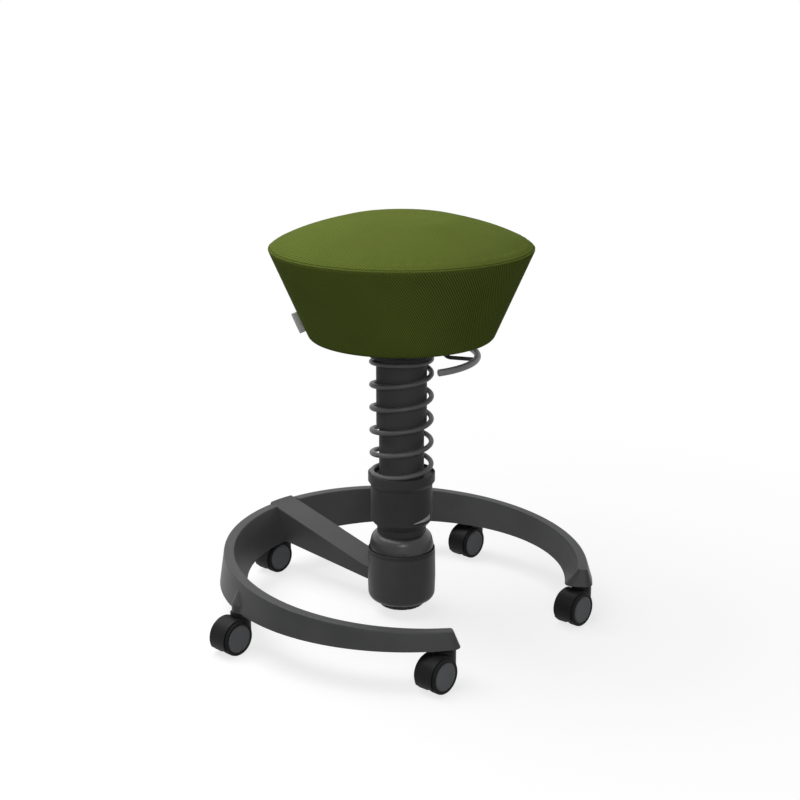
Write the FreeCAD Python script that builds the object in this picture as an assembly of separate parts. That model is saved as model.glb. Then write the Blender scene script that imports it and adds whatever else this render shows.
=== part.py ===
import FreeCAD, Part
import math
import os

# Active sitting stool: an open foot ring on five castors, one sloping arm to a hub with a
# rubber tilt joint, a sprung telescopic column and a round padded seat.
# Millimetres and degrees. Origin on the floor under the column axis, +Z up,
# the arm runs back along +Y and the ring is open to the front, toward -Y.

# Clearances
running_gap = 0.05        # shaft in its hole, tube in its guide
close_gap = 0.3           # between pieces that move past each other
stop_gap = 3.0            # left over at the end of a stroke

# Castors
castor_count = 5
wheel_radius = 26.5
wheel_width = 15.6
wheel_inner_face = 4.4    # castor middle plane to the inner face of a wheel
wheel_edge_round = 3.0
cap_radius = 20.0
cap_bevel = 1.6
castor_trail = 20.5
castor_height = 59.0      # floor to the top of the castor neck
castor_neck_radius = 15.5
castor_neck_depth = 31.0
hood_wall = 1.6
hood_clearance = 0.5
hood_front_angle = 20.0
hood_width = 31.0
hood_drop_angle = 30.0    # how far the hood reaches below the axle on the trailing side
web_thickness = 7.2
web_lift = 9.0            # floor to the lower edge of the web
axle_radius = 4.0
axle_length = 31.0
stem_radius = 5.5
stem_reach = 19.0
stem_root = 11.0          # depth of the stem in the castor neck

# Foot ring
ring_offset = 9.9         # ring centre in front of the column axis
ring_foot_outer = 293.0
ring_foot_inner = 250.0
ring_top_outer = 286.0
ring_top_width = 16.5
ring_height = 39.5        # at the ring centre
ring_tilt = 3.7           # the top plane rises toward the arm
ring_edge = 2.2
ring_wall = 5.0
ring_roof_wall = 4.0      # wall of the hollows where they meet the roof
ring_roof = 9.0
ring_opening = 72.0       # angle between the two end castors
ring_foot_reach = 20.8    # how far the ring's foot runs on past an end castor
ring_top_reach = 12.0     # the same for its top
ring_corner_share = 0.3   # corner radius of an end, as a share of the ring's width
ring_cells = 12           # hollows between the ribs under the ring
ring_rib = 5.0
swivel_gap = 1.3
boss_radius = 13.0
boss_straight = 0.4       # upright part of a boss, as a share of its height
boss_top_radius = 7.0
boss_drop = 1.5
boss_top_depth = 14.0     # top of a boss below the ring's top
boss_proud = 2.5          # top of a boss outside the ring's top edge
stem_circle = 286.0
end_stem_circle = 276.0

# Arm and hub
arm_width = 50.0
arm_proud = 2.4           # arm above the top of the ring
arm_lap = 5.0             # depth of the notch in the ring that takes the arm
arm_hub_top = 38.0        # top of the arm below the pivot, at the hub
arm_hub_depth = 21.0
arm_edge = 3.0
arm_wall = 5.0
arm_rib = 5.0
arm_flange = 3.5          # plate at the end of the arm, against the ring
arm_flange_proud = 2.0
bolt_radius = 4.0
bolt_head_radius = 6.5
bolt_head_height = 5.0
bolt_length = 26.0
bolt_spread = 36.0
bolt_height = 20.0        # above the underside of the ring
bolt_spot_depth = 0.7     # spot face in the ring's wall under a bolt head
hub_radius = 53.7
hub_top_radius = 52.9
hub_foot_radius = 52.9
hub_foot_round = 14.0
hub_rim_drop = 4.0        # rim below the pivot
hub_depth = 84.0          # pivot to the underside
hub_floor = 13.0
hub_belly_drop = 44.0

# Tilt joint
pivot_rise = 43.2         # pivot above the underside of the ring
ball_radius = 30.0
ball_flat = 24.0
rubber_thickness = 10.7
rubber_low_angle = 43.0
rubber_high_angle = 22.0
socket_wall = 6.35
retainer_wall = 5.0
retainer_rise = 15.0      # top of the retainer above the pivot
dome_radius = 51.0
dome_rise = 29.0          # top of the dome above the pivot
dome_lip_rise = 6.3       # lower edge of the dome above the pivot
dome_ball_rise = 11.0     # top of the stretch that follows the ball
dome_straight = 7.0       # straight stretch between the ball and the round top
dome_wall = 3.0
dome_lip = 1.2            # dome outside its skirt
dome_skirt_angle = 13.3
dome_slot_depth = 24.0    # bottom of the slot for the skirt below the pivot
joint_ring_height = 6.2
joint_ring_edge = 0.4
joint_ring_inset = 0.3    # outside of the ring inside the rim of the hub
shank_radius = 20.0
plate_radius = 29.7
plate_thickness = 12.0
plate_drop = 36.5         # top of the pressure plate below the pivot
knob_radius = 35.5
knob_height = 8.4
knob_notches = 12
knob_notch_radius = 4.0
knob_screw_radius = 6.0

# Column
tube_radius = 35.0
tube_wall = 3.0
neck_wall = 3.35
neck_height = 10.0
spigot_height = 18.0
sleeve_bevel_height = 11.0
sleeve_height = 57.0
sleeve_wall = 3.8
sleeve_floor = 9.0
collar_height = 19.7
collar_wall = 1.9
collar_room = 0.4         # round the spring in the collar's cup
collar_bevel = 4.1
collar_bevel_height = 6.2
collar_skirt = 38.0
upper_tube_wall = 2.0
upper_tube_rise = 76.0    # lower end of the upper tube above the collar
upper_tube_chamfer = 1.5
guide_wall = 2.1
bush_length = 26.0
core_wall = 3.1
core_floor = 14.0
core_pocket = 10.0

# Coil spring
wire_radius = 4.0
coil_room = 2.8           # between the upper tube and the wire
coil_pitch = 36.4
coil_foot_turns = 0.35    # flat on the collar
coil_bend_turns = 0.25    # over which the wire takes up its pitch, and gives it up at the top
coil_full_turns = 4.729
coil_head_turns = 0.5     # flat under the spring plate
coil_start_angle = 14.0
coil_spans = 26
spring_plate_overlap = 0.5
spring_plate_thickness = 5.0
spring_plate_bore = 25.0
spring_plate_lip = 10.0
spring_plate_lip_wall = 1.8

# Gas spring
bounce_stroke = 60.0
lift_stroke = 100.0
gas_radius = 14.0
gas_wall = 2.0
gas_floor = 3.0
gas_head = 6.0
rod_radius = 5.0
piston_height = 12.0
cone_radius = 14.05
cone_flange_radius = 18.5
cone_flange_height = 5.5
pin_radius = 2.5
pin_reach = 9.0           # above the top of the cone
pin_depth = 30.0

# Seat
seat_lift = 24.9          # underside of the seat above the spring plate
seat_side_height = 132.6
seat_rim_radius = 200.0
seat_foot_radius = 140.2
seat_foot_round = 11.0
seat_crown = 62.0
cover_thickness = 2.5
cover_return = 24.0
shell_wall = 3.0
shell_lip = 34.0
shell_top_drop = 8.0
ledge_width = 16.0
ledge_thickness = 4.0
pan_drop = 19.0           # top of the pan below the rim
pan_thickness = 8.0
swivel_cup_radius = 58.0
swivel_cup_wall = 3.0
swivel_cup_depth = 27.0
swivel_flange_radius = 75.0
socket_length = 37.0
socket_outer_radius = 19.0
bush_wall = 2.0
screw_radius = 3.0
screw_head_radius = 5.5
screw_head_height = 3.0
screw_circle = 66.0
screw_count = 4
tag_height = 33.0
tag_width = 11.0
tag_thickness = 1.0
tag_rise = 9.2            # above the underside of the seat
tag_angle = 132.5

# Height lever
lever_angle = -65.0
lever_rod_radius = 3.0
lever_bend = 12.0
lever_pivot_reach = 40.0
lever_drop_reach = 66.0
lever_drop = 27.0         # lever below the underside of the seat
lever_slot = 14.0
lever_pin_radius = 3.0
ear_thickness = 3.0
ear_gap = 14.0
ear_width = 14.0
grip_radius = 5.25
grip_tip = (127.0, -112.0)
grip_middle = (118.0, lever_angle)
grip_end = (113.0, -28.0)

# Radii of the column, from the lower tube outwards
waist_radius = tube_radius + running_gap + neck_wall
upper_tube_radius = tube_radius + 2 * running_gap + guide_wall + upper_tube_wall
coil_radius = upper_tube_radius + coil_room + wire_radius   # to the middle of the wire
spring_plate_radius = coil_radius + wire_radius + spring_plate_overlap
collar_radius = coil_radius + wire_radius + collar_room + collar_wall
sleeve_radius = collar_radius - collar_bevel

# Heights that follow from the sizes above
boss_foot = castor_height + swivel_gap
stem_hole_top = castor_height + stem_reach + close_gap
ring_under = boss_foot + boss_drop
ring_top = ring_under + ring_height
pivot = ring_under + pivot_rise
hub_rim = pivot - hub_rim_drop
hub_foot = pivot - hub_depth
neck_foot = pivot + dome_rise
waist = neck_foot + neck_height
shoulder = waist + sleeve_bevel_height
sleeve_top = shoulder + sleeve_height
collar_foot = sleeve_top + close_gap
cup_top = collar_foot + collar_height
cup_floor = cup_top - wire_radius - close_gap
spring_base = cup_floor + close_gap + wire_radius
spring_top = spring_base + coil_pitch * (coil_bend_turns + coil_full_turns)
plate_under = spring_top + wire_radius + close_gap
plate_top = plate_under + spring_plate_thickness
tube_top = plate_under - bounce_stroke - stop_gap
upper_tube_foot = cup_top + upper_tube_rise
spigot_top = shoulder + spigot_height
core_foot = spigot_top + bounce_stroke + stop_gap
seat_foot = plate_top + seat_lift
seat_rim = seat_foot + seat_side_height
pan_top = seat_rim - pan_drop
pan_under = pan_top - pan_thickness
cup_under = pan_under - swivel_cup_depth
socket_foot = cup_under - socket_length
cone_foot = socket_foot - close_gap - cone_flange_height
cone_top = cup_under + swivel_cup_wall - close_gap
pin_top = cone_top + pin_reach
lever_axis = pin_top + close_gap + lever_rod_radius
lever_level = seat_foot - lever_drop

ring_centre = FreeCAD.Vector(0, -ring_offset, 0)
ring_top_inner = ring_top_outer - ring_top_width
ring_end_angle = -90 + ring_opening / 2
ring_sweep = 360 - ring_opening
tube_bore = tube_radius - tube_wall
side_slope = (seat_rim_radius - seat_foot_radius) / seat_side_height
side_stretch = math.hypot(1, side_slope)


def flat(place):
    """A profile point (radius, height) in the XZ plane."""
    return FreeCAD.Vector(place[0], 0, place[1])


def outline(start, *steps):
    """Closed face in the XZ plane. A step is an end point, or a (through, end) pair for an arc."""
    edges = []
    here = start
    for step in steps + (start,):
        curved = isinstance(step[0], tuple)
        end = step[1] if curved else step
        if math.dist(here, end) < 1e-6:
            continue
        if curved:
            curve = Part.Arc(flat(here), flat(step[0]), flat(end))
        else:
            curve = Part.LineSegment(flat(here), flat(end))
        edges.append(curve.toShape())
        here = end
    return Part.Face(Part.Wire(edges))


def turned(start, *steps):
    """The profile turned a full turn about the column axis."""
    face = outline(start, *steps)
    return face.revolve(FreeCAD.Vector(0, 0, 0), FreeCAD.Vector(0, 0, 1), 360)


def rod(radius, foot, top, x=0, y=0):
    """Upright cylinder."""
    return Part.makeCylinder(radius, top - foot, FreeCAD.Vector(x, y, foot))


def tube(outer, inner, foot, top):
    """Upright tube about the column axis."""
    return rod(outer, foot, top).cut(rod(inner, foot, top))


def on_ball(radius, height):
    """Profile point of a ball about the pivot at one height."""
    return (math.sqrt(radius ** 2 - (height - pivot) ** 2), height)


def ball_arc(radius, low, high):
    """Arc step over a ball about the pivot from one height to another."""
    middle = (math.asin((low - pivot) / radius) + math.asin((high - pivot) / radius)) / 2
    through = (radius * math.cos(middle), pivot + radius * math.sin(middle))
    return (through, on_ball(radius, high))


def polar(radius, angle, height=0):
    """Point at a radius and an angle about the column axis."""
    turn = math.radians(angle)
    return FreeCAD.Vector(radius * math.cos(turn), radius * math.sin(turn), height)


def moved(shape, shift, turn=0):
    """Copy turned about the vertical axis, then shifted."""
    copy = shape.copy()
    copy.rotate(FreeCAD.Vector(0, 0, 0), FreeCAD.Vector(0, 0, 1), turn)
    copy.translate(shift)
    return copy


def save(name, shape):
    shape.exportStep("parts/" + name + ".step")


# Foot ring


def arc_about(radius, start, end):
    """Arc edge about the origin between two angles."""
    return Part.Arc(polar(radius, start), polar(radius, (start + end) / 2), polar(radius, end)).toShape()


def ring_end(first, last, angle, side, reach):
    """Straight run past one end with two round corners, from one radius to another."""
    corner = ring_corner_share * abs(last - first)
    bow = corner * (1 - math.sqrt(0.5))
    inward = math.copysign(1, last - first)
    onward = polar(1, angle + 90 * side)

    def place(radius, distance):
        return polar(radius, angle) + onward * distance

    face_start = place(first + inward * corner, reach)
    face_end = place(last - inward * corner, reach)
    first_knee = place(first + inward * bow, reach - bow)
    last_knee = place(last - inward * bow, reach - bow)
    return [
        Part.LineSegment(place(first, 0), place(first, reach - corner)).toShape(),
        Part.Arc(place(first, reach - corner), first_knee, face_start).toShape(),
        Part.LineSegment(face_start, face_end).toShape(),
        Part.Arc(face_end, last_knee, place(last, reach - corner)).toShape(),
        Part.LineSegment(place(last, reach - corner), place(last, 0)).toShape(),
    ]


def ring_wire(inner, outer, reach, tilt, height):
    """C-shaped outline with square ends and round corners, tilted about X and lifted."""
    low = ring_end_angle
    top = ring_end_angle + ring_sweep / 2
    high = ring_end_angle + ring_sweep
    edges = [arc_about(outer, low, top), arc_about(outer, top, high)]
    edges += ring_end(outer, inner, high, 1, reach)
    edges += [arc_about(inner, high, top), arc_about(inner, top, low)]
    edges += ring_end(inner, outer, low, -1, reach)
    wire = Part.Wire(edges)
    wire.rotate(FreeCAD.Vector(0, 0, 0), FreeCAD.Vector(1, 0, 0), tilt)
    wire.translate(ring_centre + FreeCAD.Vector(0, 0, height))
    return wire


def cell_wire(inner, outer, low, high, tilt, height):
    """Outline of one hollow under the ring."""
    edges = [
        arc_about(outer, low, high),
        Part.LineSegment(polar(outer, high), polar(inner, high)).toShape(),
        arc_about(inner, high, low),
        Part.LineSegment(polar(inner, low), polar(outer, low)).toShape(),
    ]
    wire = Part.Wire(edges)
    wire.rotate(FreeCAD.Vector(0, 0, 0), FreeCAD.Vector(1, 0, 0), tilt)
    wire.translate(ring_centre + FreeCAD.Vector(0, 0, height))
    return wire


def circle_wire(radius, centre, tilt=0):
    """Circle about an upright axis, tilted about X."""
    circle = Part.Wire(Part.makeCircle(radius))
    circle.rotate(FreeCAD.Vector(0, 0, 0), FreeCAD.Vector(1, 0, 0), tilt)
    circle.translate(centre)
    return circle


def ring_top_at(y):
    """Height of the ring's top plane."""
    return ring_top + (y + ring_offset) * math.tan(math.radians(ring_tilt))


def castor_angles():
    step = 360 / castor_count
    return [ring_end_angle + step * number for number in range(castor_count)]


def stem_circle_at(angle):
    """Radius of the circle a castor stem stands on. The two end castors stand further in."""
    at_end = angle in (castor_angles()[0], castor_angles()[-1])
    return end_stem_circle if at_end else stem_circle


def stem_place(angle):
    """Axis of a castor stem."""
    return polar(stem_circle_at(angle), angle) + ring_centre


def castor_boss(angle):
    """Round boss that takes a castor stem, upright below and tapered in toward the top of the ring."""
    foot = stem_place(angle) + FreeCAD.Vector(0, 0, boss_foot)
    reach = min(stem_circle_at(angle), ring_top_outer + boss_proud - boss_top_radius)
    middle = polar(reach, angle) + ring_centre
    height = max(ring_top_at(middle.y) - boss_top_depth, stem_hole_top + stop_gap)
    crown = FreeCAD.Vector(middle.x, middle.y, height)
    upright = FreeCAD.Vector(0, 0, boss_straight * (height - boss_foot))
    sections = [
        circle_wire(boss_radius, foot),
        circle_wire(boss_radius, foot + upright),
        circle_wire(boss_top_radius, crown),
    ]
    return Part.makeLoft(sections, True, True)


def ring_cell(number):
    """Hollow between two ribs, open below."""
    span = ring_sweep / ring_cells
    rib = math.degrees(ring_rib / 2 / ring_foot_inner)
    low = ring_end_angle + span * number + rib
    high = low + span - 2 * rib
    foot = cell_wire(ring_foot_inner + ring_wall, ring_foot_outer - ring_wall, low, high, 0, ring_under)
    roof = cell_wire(ring_top_inner + ring_roof_wall, ring_top_outer - ring_roof_wall, low, high,
                     ring_tilt, ring_top - ring_roof)
    return Part.makeLoft([foot, roof], True, True)


def arm_prism(width, profile):
    """Side profile of (y, z) points carried across the arm."""
    points = [FreeCAD.Vector(-width / 2, y, z) for y, z in profile]
    face = Part.Face(Part.makePolygon(points + points[:1]))
    return face.extrude(FreeCAD.Vector(width, 0, 0))


arm_back = ring_top_outer - ring_offset
arm_back_top = ring_top_at(arm_back) + arm_proud
arm_front_top = pivot - arm_hub_top
arm_grade = (arm_back_top - arm_front_top) / (arm_back - hub_radius)
bolt_level = ring_under + bolt_height
wall_grade = (ring_top_inner - ring_foot_inner) / (ring_top_at(arm_back) - ring_under)
bolt_wall_y = ring_foot_inner - ring_offset + bolt_height * wall_grade
bolt_seat_y = bolt_wall_y + ring_wall - bolt_spot_depth


def bolt_hole(radius, start, length, x):
    """Cylinder along Y, toward the front."""
    base = FreeCAD.Vector(x, start, bolt_level)
    return Part.makeCylinder(radius, length, base, FreeCAD.Vector(0, -1, 0))


def bolt_places():
    return (-bolt_spread / 2, bolt_spread / 2)


def foot_ring():
    sections = [ring_wire(ring_foot_inner, ring_foot_outer, ring_foot_reach, 0, ring_under)]
    knee = ring_edge * (1 - math.sqrt(0.5))
    for inset, drop in ((0, ring_edge), (knee, knee), (ring_edge, 0)):
        sections.append(ring_wire(ring_top_inner + inset, ring_top_outer - inset, ring_top_reach - inset,
                                  ring_tilt, ring_top - drop))
    body = Part.makeLoft(sections, True, True)
    for number in range(ring_cells):
        body = body.cut(ring_cell(number))
    for angle in castor_angles():
        body = body.fuse(castor_boss(angle))
        place = stem_place(angle)
        body = body.cut(rod(stem_radius + running_gap, boss_foot, stem_hole_top, place.x, place.y))
    body = body.cut(arm_notch())
    for x in bolt_places():
        head_room = bolt_head_height + ring_wall
        body = body.cut(bolt_hole(bolt_head_radius + close_gap, bolt_seat_y + head_room, head_room, x))
        body = body.cut(bolt_hole(bolt_radius + running_gap, bolt_seat_y, bolt_length, x))
    return body.removeSplitter()


def arm_notch():
    """Notch in the top of the ring that takes the end of the arm."""
    front = ring_foot_inner - ring_offset - ring_wall
    back = ring_foot_outer - ring_offset + ring_wall
    rise = arm_proud + ring_wall
    profile = [
        (front, ring_top_at(front) - arm_lap),
        (back, ring_top_at(back) - arm_lap),
        (back, ring_top_at(back) + rise),
        (front, ring_top_at(front) + rise),
    ]
    return arm_prism(arm_width + 2 * close_gap, profile)


# Arm and hub


def arm_pocket(x):
    """Hollow under the arm on one side of its middle rib."""
    width = (arm_width - arm_rib) / 2 - arm_wall
    front = hub_radius + arm_wall
    back = ring_foot_inner - ring_offset - bolt_length
    roof_front = arm_front_top + (front - hub_radius) * arm_grade - arm_wall
    roof_back = arm_front_top + (back - hub_radius) * arm_grade - arm_wall
    profile = [(front, hub_foot), (back, hub_foot), (back, roof_back), (front, roof_front)]
    pocket = arm_prism(width, profile)
    pocket.translate(FreeCAD.Vector(x, 0, 0))
    return pocket


def ring_envelope():
    """The ring's inner wall grown by the fit, up to the bottom of the notch."""
    outer = ring_foot_outer + arm_width
    sections = [
        ring_wire(ring_foot_inner - close_gap, outer, arm_width, 0, ring_under),
        ring_wire(ring_top_inner - close_gap, outer, arm_width, ring_tilt, ring_top),
    ]
    body = Part.makeLoft(sections, True, True)
    return body.cut(arm_notch())


def arm_bar():
    """Sloping bar from the hub to the back of the ring."""
    inside = hub_radius / 2
    ring_front = ring_foot_inner - ring_offset
    foot_front = arm_front_top - arm_hub_depth
    profile = [
        (inside, foot_front),
        (hub_radius, foot_front),
        (ring_front, ring_under),
        (arm_back, ring_under),
        (arm_back, arm_back_top),
        (hub_radius, arm_front_top),
        (inside, arm_front_top),
    ]
    bar = arm_prism(arm_width, profile)
    top_edges = [edge for edge in bar.Edges if is_arm_top_edge(edge)]
    bar = bar.makeFillet(arm_edge, top_edges)
    return bar.common(rod(ring_top_outer, 0, 2 * pivot, ring_centre.x, ring_centre.y))


def arm_plate():
    """Plate at the end of the arm, a little wider than the bar, that lies against the ring's inner wall."""
    width = arm_width + 2 * arm_flange_proud
    bow = ring_foot_inner - math.sqrt(ring_foot_inner ** 2 - (width / 2) ** 2)
    foot = ring_foot_inner - ring_offset
    head = ring_top_inner - ring_offset
    top = ring_top_at(head) - arm_lap - close_gap
    depth = arm_flange + bow
    profile = [(foot - depth, ring_under), (foot, ring_under), (head, top), (head - depth, top)]
    return arm_prism(width, profile)


def is_arm_top_edge(edge):
    """Long upper edges of the bar, one on each side."""
    low, high = (vertex.Point for vertex in edge.Vertexes)
    sloping = abs(high.y - low.y) > hub_radius and abs(high.z - low.z) > arm_edge
    return sloping and max(low.z, high.z) > arm_back_top - arm_edge


def hub_body():
    """Outside of the hub, a slightly bellied drum with a round foot."""
    corner = hub_foot_radius - hub_foot_round
    bend = (corner + hub_foot_round * math.sqrt(0.5), hub_foot + hub_foot_round * (1 - math.sqrt(0.5)))
    return turned(
        (0, hub_foot),
        (corner, hub_foot),
        (bend, (hub_foot_radius, hub_foot + hub_foot_round)),
        (hub_radius, pivot - hub_belly_drop),
        (hub_top_radius, hub_rim),
        (0, hub_rim),
    )


socket_inner = ball_radius + rubber_thickness + 2 * close_gap
socket_outer = socket_inner + socket_wall
skirt_clear = dome_radius + close_gap


def hub_hollow():
    """Room in the hub for the dome's skirt, the rubber and the pressure plate."""
    slot = pivot - dome_slot_depth
    well = plate_radius + close_gap
    well_top = pivot - math.sqrt(socket_inner ** 2 - well ** 2)
    slot_room = turned(
        on_ball(socket_outer, slot),
        on_ball(skirt_clear, slot),
        ball_arc(skirt_clear, slot, hub_rim),
        on_ball(socket_outer, hub_rim),
        ball_arc(socket_outer, hub_rim, slot),
    )
    well_room = turned(
        (0, hub_foot + hub_floor),
        (well, hub_foot + hub_floor),
        (well, well_top),
        ball_arc(socket_inner, well_top, hub_rim),
        (0, hub_rim),
    )
    screw_hole = rod(knob_screw_radius + running_gap, hub_foot, pivot)
    return [slot_room, well_room, screw_hole]


def support_arm():
    body = arm_bar().fuse(arm_plate()).cut(ring_envelope())
    body = body.fuse(hub_body())
    for room in hub_hollow():
        body = body.cut(room)
    offset = (arm_width / 2 - arm_wall + arm_rib / 2) / 2
    for x in (-offset, offset):
        body = body.cut(arm_pocket(x))
    for x in bolt_places():
        body = body.cut(bolt_hole(bolt_radius + running_gap, bolt_seat_y, bolt_length, x))
    return body.removeSplitter()


def arm_bolts():
    bolts = []
    for x in bolt_places():
        head = bolt_hole(bolt_head_radius, bolt_seat_y + bolt_head_height, bolt_head_height, x)
        shank = bolt_hole(bolt_radius, bolt_seat_y, bolt_length - close_gap, x)
        bolts.append(head.fuse(shank))
    return Part.makeCompound(bolts)


def joint_ring():
    """Ring on the rim of the hub, round the dome."""
    inner = skirt_clear + running_gap
    outer = hub_top_radius - joint_ring_inset
    top = hub_rim + joint_ring_height
    edge = joint_ring_edge
    return turned(
        (inner, hub_rim),
        (outer, hub_rim),
        (outer, top - edge),
        (outer - edge, top),
        (inner + edge / 2, top),
        (inner, top - edge),
    )


# Tilt joint


def joint_retainer():
    """Ring that closes the socket over the rubber."""
    high = pivot + retainer_rise
    outer = socket_inner + retainer_wall
    return turned(
        on_ball(socket_inner, hub_rim),
        on_ball(outer, hub_rim),
        ball_arc(outer, hub_rim, high),
        on_ball(socket_inner, high),
        ball_arc(socket_inner, high, hub_rim),
    )


def joint_rubber():
    """Thick rubber ring between the ball and the socket."""
    inner = ball_radius + close_gap
    outer = inner + rubber_thickness
    low = -math.sin(math.radians(rubber_low_angle))
    high = math.sin(math.radians(rubber_high_angle))
    return turned(
        on_ball(inner, pivot + inner * low),
        on_ball(outer, pivot + outer * low),
        ball_arc(outer, pivot + outer * low, pivot + outer * high),
        on_ball(inner, pivot + inner * high),
        ball_arc(inner, pivot + inner * high, pivot + inner * low),
    )


def pivot_stud():
    """Ball, shank, flange and spigot: the foot of the column."""
    ball_top = pivot + math.sqrt(ball_radius ** 2 - shank_radius ** 2)
    spigot = tube_bore - running_gap
    return turned(
        (0, pivot - ball_flat),
        on_ball(ball_radius, pivot - ball_flat),
        ball_arc(ball_radius, pivot - ball_flat, ball_top),
        (shank_radius, neck_foot),
        (tube_radius, neck_foot),
        (tube_radius, shoulder),
        (spigot, shoulder),
        (spigot, spigot_top),
        (0, spigot_top),
    )


def dome_top(inset):
    """Start, middle and end of the dome's round top, or of its inside, as profile points.

    The side leaves the ball straight on and turns into the round top, an arc that ends at the neck.
    """
    lean = math.asin(dome_ball_rise / dome_radius)
    out = (math.cos(lean), math.sin(lean))
    start_r = dome_radius * out[0] - dome_straight * out[1]
    start_z = dome_radius * out[1] + dome_straight * out[0]
    step_r = waist_radius - start_r
    step_z = dome_rise - start_z
    bend = -(step_r ** 2 + step_z ** 2) / 2 / (step_r * out[0] + step_z * out[1])
    centre_r = start_r - bend * out[0]
    centre_z = start_z - bend * out[1]
    radius = bend - inset
    last = math.asin((dome_rise - inset - centre_z) / radius)

    def place(turn):
        return (centre_r + radius * math.cos(turn), pivot + centre_z + radius * math.sin(turn))

    return place(lean), place((lean + last) / 2), place(last)


def dome_cover():
    """Round cap over the joint. Its skirt is set in and slides inside the rim of the hub."""
    skirt_outer = dome_radius - dome_lip
    skirt_inner = dome_radius - dome_wall
    drop = math.sin(math.radians(dome_skirt_angle))
    foot_inner = pivot - skirt_inner * drop
    foot_outer = pivot - skirt_outer * drop
    lip = pivot + dome_lip_rise
    side_top = pivot + dome_ball_rise
    inside_top = pivot + skirt_inner * dome_ball_rise / dome_radius
    bore = shank_radius + close_gap
    start, middle, end = dome_top(0)
    inner_start, inner_middle, inner_end = dome_top(dome_wall)
    return turned(
        (bore, neck_foot - dome_wall),
        inner_end,
        (inner_middle, inner_start),
        on_ball(skirt_inner, inside_top),
        ball_arc(skirt_inner, inside_top, foot_inner),
        on_ball(skirt_outer, foot_outer),
        ball_arc(skirt_outer, foot_outer, lip),
        on_ball(dome_radius, lip),
        ball_arc(dome_radius, lip, side_top),
        start,
        (middle, end),
        (bore, neck_foot),
    )


def pressure_plate():
    top = pivot - plate_drop
    return tube(plate_radius, knob_screw_radius + running_gap, top - plate_thickness, top)


def adjuster_knob():
    """Notched hand knob under the hub with its screw."""
    top = hub_foot - close_gap
    foot = top - knob_height
    edge = knob_notch_radius / 2
    body = turned(
        (0, foot),
        (knob_radius - edge, foot),
        (knob_radius, foot + edge),
        (knob_radius, top),
        (0, top),
    )
    for number in range(knob_notches):
        place = polar(knob_radius + knob_notch_radius / 3, 360 / knob_notches * number)
        body = body.cut(rod(knob_notch_radius, foot, top, place.x, place.y))
    return body.fuse(rod(knob_screw_radius, top, pivot - plate_drop))


# Column


def lower_tube():
    return tube(tube_radius, tube_bore, shoulder, tube_top)


def scale_sleeve():
    """Bevelled sleeve round the foot of the column, with a neck that stands on the dome."""
    bore = tube_radius + running_gap
    hollow = sleeve_radius - sleeve_wall
    return turned(
        (bore, neck_foot),
        (waist_radius, neck_foot),
        (waist_radius, waist),
        (sleeve_radius, shoulder),
        (sleeve_radius, sleeve_top),
        (hollow, sleeve_top),
        (hollow, shoulder + sleeve_floor),
        (bore, shoulder + sleeve_floor),
    )


def tension_collar():
    """Cup that carries the foot of the spring, with a long threaded skirt inside the sleeve."""
    bore = tube_radius + running_gap
    skirt = sleeve_radius - sleeve_wall - close_gap
    hollow = collar_radius - collar_wall
    edge = collar_wall / 3
    return turned(
        (bore, collar_foot - collar_skirt),
        (skirt, collar_foot - collar_skirt),
        (skirt, collar_foot),
        (sleeve_radius, collar_foot),
        (collar_radius, collar_foot + collar_bevel_height),
        (collar_radius, cup_top - edge),
        (collar_radius - edge, cup_top),
        (hollow + edge, cup_top),
        (hollow, cup_top - edge),
        (hollow, cup_floor),
        (bore, cup_floor),
    )


def upper_tube():
    bore = upper_tube_radius - upper_tube_wall
    chamfer = upper_tube_chamfer
    return turned(
        (bore, upper_tube_foot),
        (upper_tube_radius - chamfer, upper_tube_foot),
        (upper_tube_radius, upper_tube_foot + chamfer),
        (upper_tube_radius, plate_under),
        (bore, plate_under),
    )


def guide_bush():
    foot = upper_tube_foot + upper_tube_chamfer
    outer = upper_tube_radius - upper_tube_wall - running_gap
    return tube(outer, tube_radius + running_gap, foot, foot + bush_length)


def guide_core():
    """Inner sliding tube, closed below, that holds the gas spring."""
    outer = tube_bore - running_gap
    inner = outer - core_wall
    body = turned(
        (0, core_foot),
        (outer, core_foot),
        (outer, plate_under),
        (inner, plate_under),
        (inner, core_foot + core_floor),
        (0, core_foot + core_floor),
    )
    pocket_foot = core_foot + core_floor - core_pocket
    return body.cut(rod(gas_radius + running_gap, pocket_foot, core_foot + core_floor))


def spring_plate():
    """Upper spring plate with a lip round the top of the upper tube."""
    lip_bore = upper_tube_radius + running_gap
    lip = lip_bore + spring_plate_lip_wall
    lip_foot_height = plate_under - spring_plate_lip
    edge = spring_plate_thickness / 3
    return turned(
        (spring_plate_bore, plate_under),
        (lip_bore, plate_under),
        (lip_bore, lip_foot_height),
        (lip_bore + spring_plate_lip_wall / 2, lip_foot_height),
        (lip, plate_under - spring_plate_lip / 3),
        (lip, plate_under),
        (spring_plate_radius - edge, plate_under),
        (spring_plate_radius, plate_under + edge),
        (spring_plate_radius, plate_top),
        (spring_plate_bore, plate_top),
    )


# Coil spring


coil_turns = coil_foot_turns + coil_head_turns + 2 * coil_bend_turns + coil_full_turns


def coil_rise(turns):
    """Pitches climbed from the flat foot: the climb takes up evenly over one bend, then stays."""
    climbing = min(max(turns - coil_foot_turns, 0), coil_bend_turns)
    steady = max(turns - coil_foot_turns - coil_bend_turns, 0)
    return climbing ** 2 / 2 / coil_bend_turns + steady


def coil_height(turns):
    """Height of the wire, flat at both ends: the upper bend mirrors the lower one."""
    head_start = coil_turns - coil_head_turns
    given_up = min(max(turns - head_start + coil_bend_turns, 0), coil_bend_turns)
    flat_run = max(turns - head_start, 0)
    return spring_base + coil_pitch * (coil_rise(turns) - given_up ** 2 / 2 / coil_bend_turns - flat_run)


def coil_point(turns):
    return polar(coil_radius, coil_start_angle + 360 * turns, coil_height(turns))


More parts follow.
